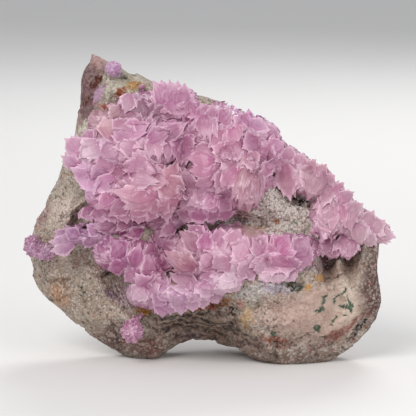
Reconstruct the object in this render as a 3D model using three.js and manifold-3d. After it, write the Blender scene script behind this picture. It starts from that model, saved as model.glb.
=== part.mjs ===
// A cobaltoan calcite specimen: pink, leaf-shaped calcite crystals in radiating clusters that cover the
// front of a loose block of pale carbonate rock. Millimetres, +Z up. The crystals face -Y and the block
// stands on the flat undersides of its two feet.
import * as THREE from "three";
import { mergeVertices } from "three/addons/utils/BufferGeometryUtils.js";
import Module from "manifold-3d";

const wasm = await Module();
wasm.setup();

// Driving dimensions
const rockDepth = 16; // from the widest section to the front, before the lumps
const backDepth = 27; // from the widest section to the back
const centreHeight = 45; // the rock's middle, above the floor
const rimSlant = 0.15; // the right side of the widest section stands nearer the front
const rockFacets = 8; // cuts along each edge of the icosahedron that the rock is shaped from
const sideFullness = 0.7; // how soon the rock reaches its outline, from either pole; 1 is round
const faceFullness = 0.55; // how flat its front and back are; 1 is round
const lumpHeight = 0.75; // of the small lumps all over the rock
const gap = 0.5; // clearance between the crystals and the rock
const crustThickness = 3.5; // the least that a cluster stands clear of the rock under it
const thinnest = 4; // the least depth of rock in front of its widest section, under a cluster
const crustMargin = 1.7; // how far a cluster's hollow in the rock reaches: 1 is the cluster's edge, squared
const moundBack = 0.4; // how deep a mound reaches behind its centre, as a share of its front
const rootSink = 2.2; // how deep a crystal's root sits in its cluster
const leafThickness = 0.34; // of a crystal, from its keel to its edges, as a share of its width
const heartDepth = 6; // how far behind its centre the point lies that a cluster's crystals face away from
const floorSize = 400; // of the block that cuts the feet off flat

// The rock's widest section, [x, z], clockwise from the top of its spire. The feet reach under the floor,
// which cuts them off flat.
const rockOutline = [
  [-35, 98], [-32.5, 97], [-29.5, 95.5], [-27.5, 93], [-24.5, 91.5], [-21, 90], [-20.5, 88], [-16.5, 87],
  [-10, 86.5], [-5.5, 84.5], [-2.5, 83], [1, 83.5], [4.5, 81.5], [8, 80.5], [13.5, 78], [19, 75.5], [21.5, 72],
  [24, 68], [29.5, 65], [35, 61], [39, 57], [43.5, 52.5], [47, 48.5], [52, 45], [54.5, 41.5], [54.5, 38],
  [53.5, 34], [53.5, 30], [54.5, 25], [55, 19], [54.5, 14.5], [51.5, 10], [48, 6], [43.5, 2.5], [38, -1],
  [33, -3], [27, -3.5], [22, -3], [17, -0.5], [13, 2], [8.5, 3.5], [3, 5], [-3, 6], [-8, 5], [-12, 2.5],
  [-16, -1], [-19, -2.8], [-23, -2.8], [-26.5, 0], [-31, 2], [-35.5, 5], [-39.5, 7], [-42.5, 9.5], [-46, 12.5],
  [-50, 16], [-54, 19], [-56.5, 23], [-58, 27.5], [-58, 31], [-58.5, 35], [-57, 38.5], [-55.5, 43.5],
  [-54.5, 46.5], [-52, 49], [-50.5, 52.5], [-48.5, 55], [-47, 58], [-46.5, 62], [-45.5, 65.5], [-44, 68.5],
  [-41.5, 71.5], [-42, 77], [-41, 81], [-40.5, 84], [-39.5, 88], [-38.5, 92.5], [-37, 96.5],
];

// Lumps and hollows of the rock's front: centre x and z, radii along x and z, height.
const rockLumps = [
  { x: 28, z: 17, rx: 25, rz: 18, height: 11 }, // the big lower right shoulder
  { x: 3, z: 30, rx: 24, rz: 11, height: 5 }, // under the lower band of crystals
  { x: -2, z: 9, rx: 13, rz: 8, height: -9 }, // the arch between the feet
  { x: -22, z: 62, rx: 20, rz: 13, height: 4 }, // under the largest cluster
  { x: -13, z: 43, rx: 9, rz: 5, height: -6 }, // the dark hollow in the middle
  { x: 27, z: 54, rx: 4, rz: 4, height: -7 }, // a small vug beside the granular ledge
  { x: -23, z: 12, rx: 8, rz: 8, height: 5 }, // the left foot's front
  { x: -44, z: 30, rx: 9, rz: 7, height: 2.5 },
  { x: -29, z: 84, rx: 7, rz: 6, height: 3 },
];

// Planes that limit the front: height at x = 0, z = 0, with its slope along x and z.
const frontFaces = [
  { height: 30, alongX: 0.42, alongZ: 0.06 }, // the left flank
  { height: 28.5, alongX: -0.38, alongZ: 0.22 }, // the broad fracture face at the lower right
  { height: 76, alongX: 0.9, alongZ: -0.4 }, // the smooth left side of the spire
  { height: 56, alongX: 0, alongZ: -0.52 }, // the top
];

// Planes that limit the back, in the same form.
const backFaces = [
  { height: 29, alongX: -0.3, alongZ: 0.06 },
  { height: 34, alongX: 0.42, alongZ: -0.02 },
  { height: 52, alongX: 0.12, alongZ: -0.46 },
  { height: 20, alongX: -0.06, alongZ: 0.5 },
];

// Fractures across the block: the direction that each faces, and its distance from the block's centre.
const fractures = [
  { facing: [0.5, 0.84, -0.2], distance: 29 },
  { facing: [-0.55, 0.8, 0.2], distance: 38 },
  { facing: [0.1, 0.74, 0.6], distance: 33 },
  { facing: [-0.25, 0.8, -0.55], distance: 33 },
  { facing: [0.74, 0.6, 0.3], distance: 39 },
  { facing: [-0.7, 0.66, -0.25], distance: 49 },
];

// Clusters of crystals. Each is a rounded mound: its centre x and z, how far out of the rock's widest
// section its centre stands, and its radii along x, y and z. Each leaf of it is
// [root x, root z, tip x, tip z, width, how far the tip stands clear of the mound].
const mainClusters = {
  shoulder: {
    mound: [-36, 66, 8, 10, 13, 8],
    leaves: [
      [-40.5, 69, -45, 72, 4, 1], [-35, 71, -40, 66.5, 5, 2], [-41.5, 64, -46, 66.5, 3.5, 1],
      [-38, 61.5, -43, 63.5, 3.5, 1],
    ],
  },
  crown: {
    mound: [-24, 68.5, 8, 17, 18, 9.5],
    leaves: [
      [-31, 74, -32.5, 79, 4, 2], [-28, 74, -25, 78.5, 5, 2], [-22.5, 76, -21, 80.5, 2.5, 4],
      [-23.5, 72, -30, 75.5, 5.5, 3], [-21.5, 69.5, -28.5, 72, 4, 2], [-26, 74, -18, 76.5, 5, 2],
      [-18, 72.5, -11.5, 75, 4, 2], [-9.5, 71, -9.5, 64, 3, 3], [-6.5, 71, -8, 62, 3.5, 2],
      [-7.5, 72, -3.5, 69.5, 4, 2],
    ],
  },
  belly: {
    mound: [-21.5, 57.5, 10, 14, 19, 10],
    leaves: [
      [-25, 66.5, -15, 62.5, 6, 5], [-18.5, 62, -12.5, 59, 5, 2], [-17.5, 58.5, -28.5, 61.5, 7.5, 5],
      [-24, 58, -32, 59, 4, 3], [-22, 55.5, -30, 55.5, 4, 2], [-18, 56.5, -26, 51.5, 6, 2],
      [-15, 55, -18.5, 49, 6.5, 1], [-12.5, 56, -11, 49.5, 5.5, 1], [-13.5, 59.5, -7, 54, 5.5, 3],
      [-30, 67, -35.5, 63.5, 5, 1], [-28.5, 70, -34, 67.5, 5, 1], [-32, 63.5, -37, 59.5, 4, 1],
      [-30, 60.5, -35.5, 55, 4, 2], [-25.5, 53, -31.5, 48.5, 4, 2], [-21, 64, -27.5, 65.5, 5, 2],
    ],
  },
  gulf: { mound: [-7, 60, 6, 7, 12, 9.5], leaves: [] },
  valley: { mound: [-6, 74, 5, 7, 12, 6.5], leaves: [] },
  spread: { mound: [9.5, 68, 7, 8, 14, 7.5], leaves: [] },
  hollow: { mound: [-14.5, 38, 5, 7.5, 10, 7.5], leaves: [] },
  step: { mound: [-33, 76.5, 5, 6, 9, 5], leaves: [] },
  sill: { mound: [-14, 45.5, 4, 8.5, 11, 5], leaves: [] },
  link: { mound: [28, 61, 4, 5.5, 12.5, 5.5], leaves: [] },
  bend: { mound: [19, 68, 3, 6.5, 12.5, 5.5], leaves: [] },
  cheek: { mound: [-32, 54.5, 8, 8, 15, 7], leaves: [] },
  ridge: { mound: [-15, 75, 6, 12.5, 11.5, 4.5], leaves: [] },
  recess: {
    mound: [-22.5, 81, 1, 9, 9, 6],
    leaves: [[-24.5, 86, -26.5, 79, 5, 4], [-16.5, 82, -19, 76.5, 4, 1]],
  },
  spur: {
    mound: [-10.5, 82, 2, 8.5, 15, 7],
    leaves: [
      [-16.5, 87.5, -15, 81, 5, 3], [-9.5, 88, -9, 81, 8.5, 3], [-3.5, 82.5, -8, 78.5, 4.5, 3],
      [-16, 86, -17, 90.5, 2, 1], [-12.5, 82, -14.5, 77.5, 4, 1], [-7.5, 86.5, -4.5, 85, 4, 1],
    ],
  },
  brow: {
    mound: [2, 73.5, 6, 12.5, 16, 9.5],
    leaves: [
      [-1, 79.5, -2.5, 83, 4, 1], [4.5, 78, 7, 81, 4, 1], [5, 74, 0, 70, 5, 1],
      [7.5, 75.5, 9.5, 71.5, 4.5, 1],
    ],
  },
  heart: {
    mound: [2, 63, 8, 10.5, 17, 11.5],
    leaves: [
      [0.5, 66.5, -6, 66, 4, 2], [1, 60, -4, 58, 4, 1], [9.5, 71.5, 3.5, 66.5, 5.5, 3],
      [8, 67, 3.5, 63.5, 5, 2], [8.5, 64, 3.5, 57, 5, 3], [5.5, 62, 2.5, 56, 4, 2],
    ],
  },
  cleft: {
    mound: [-1, 52.5, 8, 11, 14, 6.5],
    leaves: [[-5, 54, -7.5, 64, 6, 1], [2, 53.5, -2, 51, 4.5, 1], [5.5, 53, 3.5, 49.5, 4, 1]],
  },
  fan: {
    mound: [11.5, 58.5, 10, 8, 16, 10.5],
    leaves: [
      [12.5, 65, 7.5, 53.5, 3.5, 1], [12.5, 65, 10, 51, 4, 2], [13, 65, 12.5, 49.5, 4.5, 2],
      [13, 65, 15, 51.5, 4, 2], [13.5, 64.5, 17, 54.5, 3.5, 1], [13, 68.5, 14, 62, 4, 3],
      [17, 61.5, 22.5, 67, 3, 5], [19.5, 55.5, 19, 61, 3, 3],
    ],
  },
  rimTop: {
    mound: [13.5, 72.5, 1, 10.5, 14, 5.5],
    leaves: [
      [12, 76, 7.5, 79, 5, 1], [15, 75.5, 17, 78.5, 5, 1], [19, 73.5, 21.5, 76, 4.5, 1],
      [20, 69, 24, 71, 4, 1], [17, 67.5, 21.5, 65, 5, 1],
    ],
  },
  rimMid: {
    mound: [23, 64, 2, 8.5, 13.5, 5.5],
    leaves: [[23, 62, 24.5, 54, 3.5, 3], [25, 65.5, 25.5, 70, 3.5, 1], [28.5, 64, 30, 67.5, 3.5, 1]],
  },
  saddle: {
    mound: [32, 57.5, 5, 8, 13, 7],
    leaves: [
      [34, 62.5, 30.5, 52, 7.5, 3], [31.5, 62, 34, 65.5, 3, 1], [34.5, 60.5, 37.5, 64, 3, 1],
      [37, 58, 40, 60.5, 3, 1], [37.5, 57.5, 36, 50.5, 5, 1],
    ],
  },
  arm: {
    mound: [39.5, 48, 8, 9, 14, 8.5],
    leaves: [
      [40.5, 54.5, 31, 41, 5, 2], [40.5, 54.5, 34.5, 37.5, 5, 3], [40.5, 54, 38.5, 38, 5, 2],
      [43, 52, 45, 43, 5, 1], [39.5, 55.5, 43, 58, 3, 1], [41.5, 53, 46, 55, 3, 1],
      [35.5, 51.5, 31.5, 46.5, 4, 1],
    ],
  },
  wrist: {
    mound: [48, 43, 6, 7.5, 12, 6],
    leaves: [
      [46, 49, 49, 51.5, 3, 1], [49.5, 45.5, 52.5, 49, 4, 1], [46.5, 44.5, 48, 38.5, 5, 2],
      [50, 41, 53.5, 38, 3.5, 1],
    ],
  },
  finger: {
    mound: [54, 41.5, 6, 5, 9, 4],
    leaves: [[52, 43.5, 56, 46, 4, 1], [54, 41.5, 59.5, 40.5, 3.5, 1]],
  },
  cuff: {
    mound: [41.5, 37.5, 8, 8.5, 11, 4.5],
    leaves: [[43.5, 40.5, 44, 34.5, 5, 3], [39.5, 39.5, 38.5, 34, 5, 1], [36.5, 40, 35.5, 35, 4.5, 1]],
  },
  bandLeft: {
    mound: [-4, 35.5, 10, 10.5, 16, 8.5],
    leaves: [
      [-2, 41, -6.5, 45.5, 4, 2], [-3.5, 39, -8.5, 42.5, 4, 2], [-4.5, 36.5, -10.5, 40, 5, 3],
      [-5, 33, -13, 37, 5, 3], [-5, 27, -12, 29.5, 5, 2], [-1, 38.5, -0.5, 43, 4, 2],
      [2, 34.5, -3, 37, 5.5, 2],
    ],
  },
  bandMid: {
    mound: [9.5, 36, 10, 14.5, 19, 9],
    leaves: [
      [2.5, 39.5, 4.5, 44, 4, 2], [7.5, 40, 10, 44, 5, 2], [6, 35, 1.5, 32.5, 5, 2],
      [12, 37, 7, 40.5, 5.5, 2], [13.5, 33, 8.5, 30.5, 5.5, 2], [10.5, 30.5, 2, 27, 5.5, 3],
      [17, 38, 13.5, 41.5, 5, 2],
    ],
  },
  bandRight: {
    mound: [25, 37, 10, 12, 18, 6.5],
    leaves: [
      [22.5, 38, 25.5, 42, 5, 2], [24, 36, 20.5, 32.5, 5.5, 2], [28, 37.5, 31.5, 41, 5, 2],
      [28.5, 36, 32, 33.5, 4.5, 2], [25, 35, 27, 31.5, 4.5, 1], [19.5, 32.5, 16, 29, 5, 1],
    ],
  },
  bandEnd: { mound: [31, 38.5, 9, 6, 13, 4.5], leaves: [] },
  lip: {
    mound: [-7, 24.6, 12, 13, 15, 4.8],
    leaves: [
      [-12, 26, -15.5, 21.5, 4, 1], [-8.5, 25, -11, 20.5, 4.5, 1], [-4, 26, -6, 21, 4.5, 1],
      [-0.5, 27.5, -0.5, 22.5, 4.5, 1], [3, 28, 4.5, 24, 4, 1], [7.5, 28.5, 10, 25.5, 4, 1],
    ],
  },
  lipRight: { mound: [5, 28.5, 12, 10, 17, 5.5], leaves: [] },
  blush: {
    mound: [-19.5, 30, 8, 7, 14, 7],
    leaves: [
      [-18, 33, -18, 40.5, 4, 3], [-15.5, 30.5, -14, 37.5, 4, 3], [-15, 25.5, -15.5, 31.5, 4, 2],
      [-19, 26, -22.5, 30.5, 4, 1],
    ],
  },
  magenta: {
    mound: [-25.5, 35, 4, 13, 16, 8],
    leaves: [
      [-23, 33, -21.5, 39, 4, 1], [-27.5, 35.5, -29.5, 40, 5, 1], [-32, 36.5, -34.5, 40.5, 4, 1],
      [-27.5, 32.5, -31.5, 31, 4, 1], [-22.5, 30, -26.5, 26.5, 4, 1], [-20.5, 25, -23.5, 21.5, 4, 1],
    ],
  },
  pale: { mound: [-19.5, 22.3, 8.5, 7.5, 12.5, 5.3], leaves: [] },
  pocket: { mound: [-28.5, 43.5, 4, 13.5, 11.5, 4], leaves: [] },
  streak: { mound: [-38, 40.5, 4, 11, 11, 3.5], leaves: [] },
};

// Small patches of crystals that stand apart from the main crust.
const patchClusters = {
  calcite_patch_left: {
    tip: {
      mound: [-56, 36, 0, 3.4, 6.5, 3.8],
      leaves: [
        [-55.5, 37, -59, 39, 3, 1], [-55.5, 35.5, -59.5, 34, 3, 1], [-53.5, 35.5, -54.5, 38.5, 2.5, 1],
      ],
    },
    inner: {
      mound: [-52, 34.5, 2, 4.4, 8.5, 2.9],
      leaves: [[-51, 34.5, -48, 36, 2, 1], [-52, 35.5, -51.5, 32, 2.5, 1]],
    },
  },
  calcite_patch_low: {
    foot: {
      mound: [-24, 11, 8, 4.2, 13, 4.8],
      leaves: [
        [-23.5, 13.5, -26, 16, 3, 1], [-23.5, 10.5, -22, 6.5, 3, 1], [-24.5, 12, -27.5, 10.5, 3, 1],
        [-22.5, 14, -20.5, 15.5, 3, 1],
      ],
    },
  },
  calcite_patch_spire: {
    spire: {
      mound: [-30, 93, 1, 2.8, 8, 2.6],
      leaves: [
        [-30, 93.5, -32, 95.5, 1.5, 1], [-29.5, 93.5, -27.5, 94.5, 1.5, 1], [-30, 93, -31, 91, 1.5, 1],
      ],
    },
  },
};

const solidOf = (geometry) => {
  const bare = geometry.clone();
  bare.deleteAttribute("normal");
  bare.deleteAttribute("uv");
  const merged = mergeVertices(bare, 1e-4);
  return new wasm.Manifold(
    new wasm.Mesh({
      numProp: 3,
      vertProperties: new Float32Array(merged.attributes.position.array),
      triVerts: new Uint32Array(merged.index.array),
    }),
  );
};

const geometryOf = (solid) => {
  const { vertProperties, triVerts } = solid.getMesh();
  const geometry = new THREE.BufferGeometry();
  geometry.setAttribute("position", new THREE.BufferAttribute(vertProperties, 3));
  geometry.setIndex(new THREE.BufferAttribute(triVerts, 1));
  geometry.computeVertexNormals();
  return geometry;
};

const planeHeight = ({ height, alongX, alongZ }, x, z) => height + alongX * x + alongZ * z;

// Small lumps, from waves that don't repeat within the block's size.
const lumpy = (x, z) =>
  lumpHeight *
  (Math.sin(0.61 * x + 1.7 * Math.sin(0.23 * z)) +
    Math.sin(0.53 * z + 1.3 * Math.sin(0.31 * x + 2)) +
    0.6 * Math.sin(1.1 * x - 0.9 * z));

function rockFront(x, z) {
  let height = rockDepth;
  for (const lump of rockLumps) {
    const reach = ((x - lump.x) / lump.rx) ** 2 + ((z - lump.z) / lump.rz) ** 2;
    height += lump.height * Math.exp(-reach);
  }
  return Math.min(height, ...frontFaces.map((face) => planeHeight(face, x, z))) + lumpy(x, z);
}

function rockBack(x, z) {
  return Math.min(backDepth, ...backFaces.map((face) => planeHeight(face, x, z))) + lumpy(z, x);
}

// How far from a mound's centre a point is, seen from the front: 1 at its edge, and squared.
const moundReach = ([x, z, , radiusX, , radiusZ], pointX, pointZ) =>
  ((pointX - x) / radiusX) ** 2 + ((pointZ - z) / radiusZ) ** 2;

// How far out of the widest section the clusters' surface stands, or another value where there is none.
function clusterFront(clusters, x, z, otherwise) {
  let front = otherwise;
  for (const { mound } of clusters) {
    const reach = moundReach(mound, x, z);
    if (reach < 1) front = Math.max(front, mound[2] + mound[4] * Math.sqrt(1 - reach));
  }
  return front;
}

// The rock's front where clusters cover it: behind them, rising to its own height round their edges.
function seatedFront(clusters, x, z, front) {
  let seat = -Infinity;
  let away = 1;
  for (const { mound } of clusters) {
    const reach = moundReach(mound, x, z);
    if (reach < crustMargin) {
      seat = Math.max(seat, mound[2] + mound[4] * Math.sqrt(Math.max(0, 1 - reach)) - crustThickness);
      away = Math.min(away, Math.max(0, reach - 1) / (crustMargin - 1));
    }
  }
  return away < 1 ? Math.min(front, front * away + seat * (1 - away)) : front;
}

// The outline's distance from the rock's middle in a direction, a clockwise angle from straight up.
function outlineReach(angle) {
  const [sideways, upwards] = [Math.sin(angle), Math.cos(angle)];
  for (const [i, [startX, startZ]] of rockOutline.entries()) {
    const [endX, endZ] = rockOutline[(i + 1) % rockOutline.length];
    const [runX, runZ] = [endX - startX, endZ - startZ];
    const across = sideways * runZ - upwards * runX;
    const share = (upwards * startX - sideways * (startZ - centreHeight)) / across;
    const reach = (startX * runZ - (startZ - centreHeight) * runX) / across;
    if (share >= 0 && share < 1 && reach > 0) return reach;
  }
  return 0;
}

// The whole block: a faceted ball, its equator stretched to the outline and its poles to front and back.
function rockBlock() {
  const ball = new THREE.IcosahedronGeometry(1, rockFacets);
  const clusters = [mainClusters, ...Object.values(patchClusters)].flatMap((named) => Object.values(named));
  const { position } = ball.attributes;
  for (let i = 0; i < position.count; i++) {
    const [ballX, ballY, ballZ] = [position.getX(i), position.getY(i), position.getZ(i)];
    const aside = Math.hypot(ballX, ballZ);
    const angle = Math.atan2(ballX, ballZ);
    const reach = outlineReach(angle);
    const size = aside ** sideFullness * reach;
    const x = size * Math.sin(angle);
    const z = centreHeight + size * Math.cos(angle);
    const depth = Math.abs(ballY) ** faceFullness;
    const slant = rimSlant * reach * Math.sin(angle) * (1 - depth ** 3);
    const seat = seatedFront(clusters, x, z, slant + rockFront(x, z) * depth);
    const front = Math.max(slant + thinnest * depth, seat);
    position.setXYZ(i, x, ballY > 0 ? rockBack(x, z) * depth - slant : -front, z);
  }
  ball.deleteAttribute("normal");
  ball.deleteAttribute("uv");
  const block = mergeVertices(ball, 1e-3);
  block.computeVertexNormals();
  return block;
}

// A solid moved outwards all over by a clearance.
function swollen(geometry, clearance) {
  const moved = geometry.clone();
  const { position, normal } = moved.attributes;
  const point = new THREE.Vector3();
  const away = new THREE.Vector3();
  for (let i = 0; i < position.count; i++) {
    point.fromBufferAttribute(position, i).addScaledVector(away.fromBufferAttribute(normal, i), clearance);
    position.setXYZ(i, point.x, point.y, point.z);
  }
  return moved;
}

// A block whose near face is the plane that faces a direction at a distance from the rock's centre.
function beyondPlane(facing, distance) {
  const direction = new THREE.Vector3(...facing).normalize();
  const turn = new THREE.Quaternion().setFromUnitVectors(new THREE.Vector3(0, 0, 1), direction);
  const block = new THREE.BoxGeometry(floorSize, floorSize, floorSize);
  block.applyQuaternion(turn);
  const centre = direction.multiplyScalar(distance + floorSize / 2);
  block.translate(centre.x, centre.y, centre.z + centreHeight);
  return solidOf(block);
}

function rockSolid(clearance) {
  let rock = solidOf(swollen(rockBlock(), clearance));
  for (const { facing, distance } of fractures) {
    rock = rock.subtract(beyondPlane(facing, distance + clearance));
  }
  return rock.subtract(beyondPlane([0, 0, -1], centreHeight));
}

function moundSolid([x, z, out, radiusX, radiusY, radiusZ]) {
  const mound = new THREE.IcosahedronGeometry(1, 1);
  const { position } = mound.attributes;
  for (let i = 0; i < position.count; i++) {
    const y = position.getY(i);
    position.setY(i, y > 0 ? y * moundBack : y);
  }
  mound.scale(radiusX, radiusY, radiusZ);
  mound.translate(x, -out, z);
  return solidOf(mound);
}

// One leaf-shaped crystal: a blade with a pointed root and tip, and a keel point in the middle of each side
// that its flat faces meet at.
function leafSolid(root, tip, width, outwards) {
  const along = tip.clone().sub(root);
  const across = new THREE.Vector3().crossVectors(along, outwards).normalize();
  const lifted = new THREE.Vector3().crossVectors(across, along).normalize();
  const at = (share, side, lift) =>
    root
      .clone()
      .addScaledVector(along, share)
      .addScaledVector(across, (side * width) / 2)
      .addScaledVector(lifted, lift * width * leafThickness);
  const side = [
    [0.45, 1],
    [0.8, 0.62],
  ];
  const near = side.map(([share, half]) => at(share, half, 0));
  const far = side.map(([share, half]) => at(share, -half, 0)).reverse();
  const edge = [root, ...near, tip, ...far];
  const keels = [at(0.55, 0, 1), at(0.55, 0, -1)];
  const faces = edge.flatMap((_, i) => {
    const next = (i + 1) % edge.length;
    return [i, next, edge.length, next, i, edge.length + 1];
  });
  const geometry = new THREE.BufferGeometry().setFromPoints([...edge, ...keels]);
  geometry.setIndex(faces);
  return solidOf(geometry);
}

// Clusters grown together: their mounds and leaves as one solid, with the rock taken out of it.
function crustSolid(named, rock) {
  const clusters = Object.values(named);
  let crust = null;
  const grow = (solid) => {
    crust = crust ? crust.add(solid) : solid;
  };
  for (const { mound } of clusters) grow(moundSolid(mound));
  for (const { mound, leaves } of clusters) {
    const [moundX, moundZ, out] = mound;
    for (const [rootX, rootZ, tipX, tipZ, width, clear] of leaves) {
      const root = new THREE.Vector3(rootX, rootSink - clusterFront(clusters, rootX, rootZ, out), rootZ);
      const tip = new THREE.Vector3(tipX, -clear - clusterFront(clusters, tipX, tipZ, out), tipZ);
      const heart = new THREE.Vector3(moundX, heartDepth - out, moundZ);
      const outwards = root.clone().add(tip).divideScalar(2).sub(heart);
      grow(leafSolid(root, tip, width, outwards));
    }
  }
  return crust.subtract(rock);
}

function part(name, geometry, color, roughness) {
  const material = new THREE.MeshStandardMaterial({ color, roughness, metalness: 0 });
  const mesh = new THREE.Mesh(geometry, material);
  mesh.name = name;
  return mesh;
}

const specimen = new THREE.Group();
const rock = rockSolid(0);
const rockRoom = rock.add(rockSolid(gap));
specimen.add(part("matrix_rock", geometryOf(rock), 0xb9a68f, 0.9));
specimen.add(part("calcite_crust", geometryOf(crustSolid(mainClusters, rockRoom)), 0xcf86b4, 0.4));
for (const [name, clusters] of Object.entries(patchClusters)) {
  specimen.add(part(name, geometryOf(crustSolid(clusters, rockRoom)), 0xcf93bd, 0.4));
}

// The origin is under the middle of the whole specimen, on the floor.
const extent = new THREE.Box3().setFromObject(specimen);
const middle = extent.getCenter(new THREE.Vector3());
specimen.position.set(-middle.x, -middle.y, -extent.min.z);

export default specimen;
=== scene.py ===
import itertools
import math

import bmesh
import bpy
import numpy as np
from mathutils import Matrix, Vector, noise
from mathutils.bvhtree import BVHTree


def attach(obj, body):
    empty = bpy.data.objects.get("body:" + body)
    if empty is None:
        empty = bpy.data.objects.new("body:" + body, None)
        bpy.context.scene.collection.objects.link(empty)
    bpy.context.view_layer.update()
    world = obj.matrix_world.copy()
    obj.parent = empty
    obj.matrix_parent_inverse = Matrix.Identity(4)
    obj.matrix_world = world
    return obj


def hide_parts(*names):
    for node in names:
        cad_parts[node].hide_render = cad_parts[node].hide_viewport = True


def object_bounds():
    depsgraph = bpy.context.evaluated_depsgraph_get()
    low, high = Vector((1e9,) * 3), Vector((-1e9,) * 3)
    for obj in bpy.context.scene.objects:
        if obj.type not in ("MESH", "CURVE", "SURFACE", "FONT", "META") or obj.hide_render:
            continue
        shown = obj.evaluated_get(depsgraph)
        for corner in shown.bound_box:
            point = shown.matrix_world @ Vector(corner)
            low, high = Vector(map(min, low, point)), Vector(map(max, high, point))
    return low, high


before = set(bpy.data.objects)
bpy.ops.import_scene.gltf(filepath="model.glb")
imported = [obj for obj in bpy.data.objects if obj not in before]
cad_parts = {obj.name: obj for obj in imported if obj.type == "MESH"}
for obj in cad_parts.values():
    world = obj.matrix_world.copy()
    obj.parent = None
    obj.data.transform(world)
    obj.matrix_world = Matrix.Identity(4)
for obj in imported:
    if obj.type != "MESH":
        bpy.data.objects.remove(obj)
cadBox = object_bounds()
mm = 0.001
noise.seed_set(5)  # otherwise noise_vector starts from the time of day

# The crystals face -Y. Clusters, leaves, stains and painted shade are placed in millimetres as they are seen
# from the front.
layout = {
    "shiftY": 0.94,  # from the clusters' own depth to the frame's
    "sightSlope": 0.1405,  # the front is seen from 8 degrees above
    "sightDistance": 900.0,
    "sightHeight": 48,
}


def linear(*steps):
    # a colour in 0 to 255 steps, turned to light
    shares = [step / 255 for step in steps]
    return tuple(c / 12.92 if c <= 0.04045 else ((c + 0.055) / 1.055) ** 2.4 for c in shares)


class Wire:
    # an output socket that takes + - * and / as Math nodes
    def __init__(self, finish, socket):
        self.finish = finish
        self.socket = socket

    def __add__(self, other):
        return self.finish.maths("ADD", self, other)

    def __mul__(self, other):
        return self.finish.maths("MULTIPLY", self, other)

    def __sub__(self, other):
        return self.finish.maths("SUBTRACT", self, other)

    def __rsub__(self, other):
        return self.finish.maths("SUBTRACT", other, self)

    def __truediv__(self, other):
        return self.finish.maths("DIVIDE", self, other)

    __radd__ = __add__
    __rmul__ = __mul__


class Finish:
    # a material with one Principled shader
    def __init__(self, name):
        self.material = bpy.data.materials.new(name)
        self.material.use_nodes = True
        self.tree = self.material.node_tree
        self.shader = next(n for n in self.tree.nodes if n.type == "BSDF_PRINCIPLED")

    def put(self, socket, value):
        if isinstance(value, Wire):
            self.tree.links.new(value.socket, socket)
        elif isinstance(value, tuple) and len(value) == 3 and len(socket.default_value) == 4:
            socket.default_value = (*value, 1.0)
        else:
            socket.default_value = value

    def node(self, kind, settings=None, inputs=None, output=0):
        made = self.tree.nodes.new(kind)
        for key, value in (settings or {}).items():
            setattr(made, key, value)
        for key, value in (inputs or {}).items():
            self.put(made.inputs[key], value)
        return Wire(self, made.outputs[output])

    def parts(self, value, kind="ShaderNodeSeparateXYZ"):
        split = self.node(kind, None, {0: value})
        return [Wire(self, socket) for socket in split.socket.node.outputs]

    def inMillimetres(self):
        inputs = {"Vector": self.node("ShaderNodeTexCoord", output=3), "Scale": (1000, 1000, 1000)}
        return self.node("ShaderNodeMapping", {"vector_type": "POINT"}, inputs)

    def maths(self, operation, a, b=0.0, clamp=False):
        return self.node("ShaderNodeMath", {"operation": operation, "use_clamp": clamp}, {0: a, 1: b})

    def vector(self, operation, a, b=(0.0, 0.0, 0.0), output=0):
        return self.node("ShaderNodeVectorMath", {"operation": operation}, {0: a, 1: b}, output)

    def mask(self, value, low, high):
        # 0 where the value is under low, 1 over high; low may be the larger
        inputs = {"Value": value, "From Min": low, "From Max": high}
        return self.node("ShaderNodeMapRange", {"interpolation_type": "SMOOTHSTEP"}, inputs)

    def blend(self, amount, under, over, mode="MIX"):
        settings = {"data_type": "RGBA", "blend_type": mode, "clamp_result": True}
        return self.node("ShaderNodeMix", settings, {0: amount, 6: under, 7: over}, 2)

    def grain(self, place, scale, detail=2.0, roughness=0.5, output=0):
        inputs = {"Vector": place, "Scale": scale, "Detail": detail, "Roughness": roughness}
        return self.node("ShaderNodeTexNoise", None, inputs, output)

    def cells(self, place, scale, output=0):
        return self.node("ShaderNodeTexVoronoi", None, {"Vector": place, "Scale": scale}, output)

    def bump(self, height, strength, distance):
        inputs = {"Height": height, "Strength": strength, "Distance": distance}
        return self.node("ShaderNodeBump", None, inputs)

    def set(self, **values):
        for key, value in values.items():
            self.put(self.shader.inputs[key.replace("_", " ")], value)
        return self.material


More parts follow.
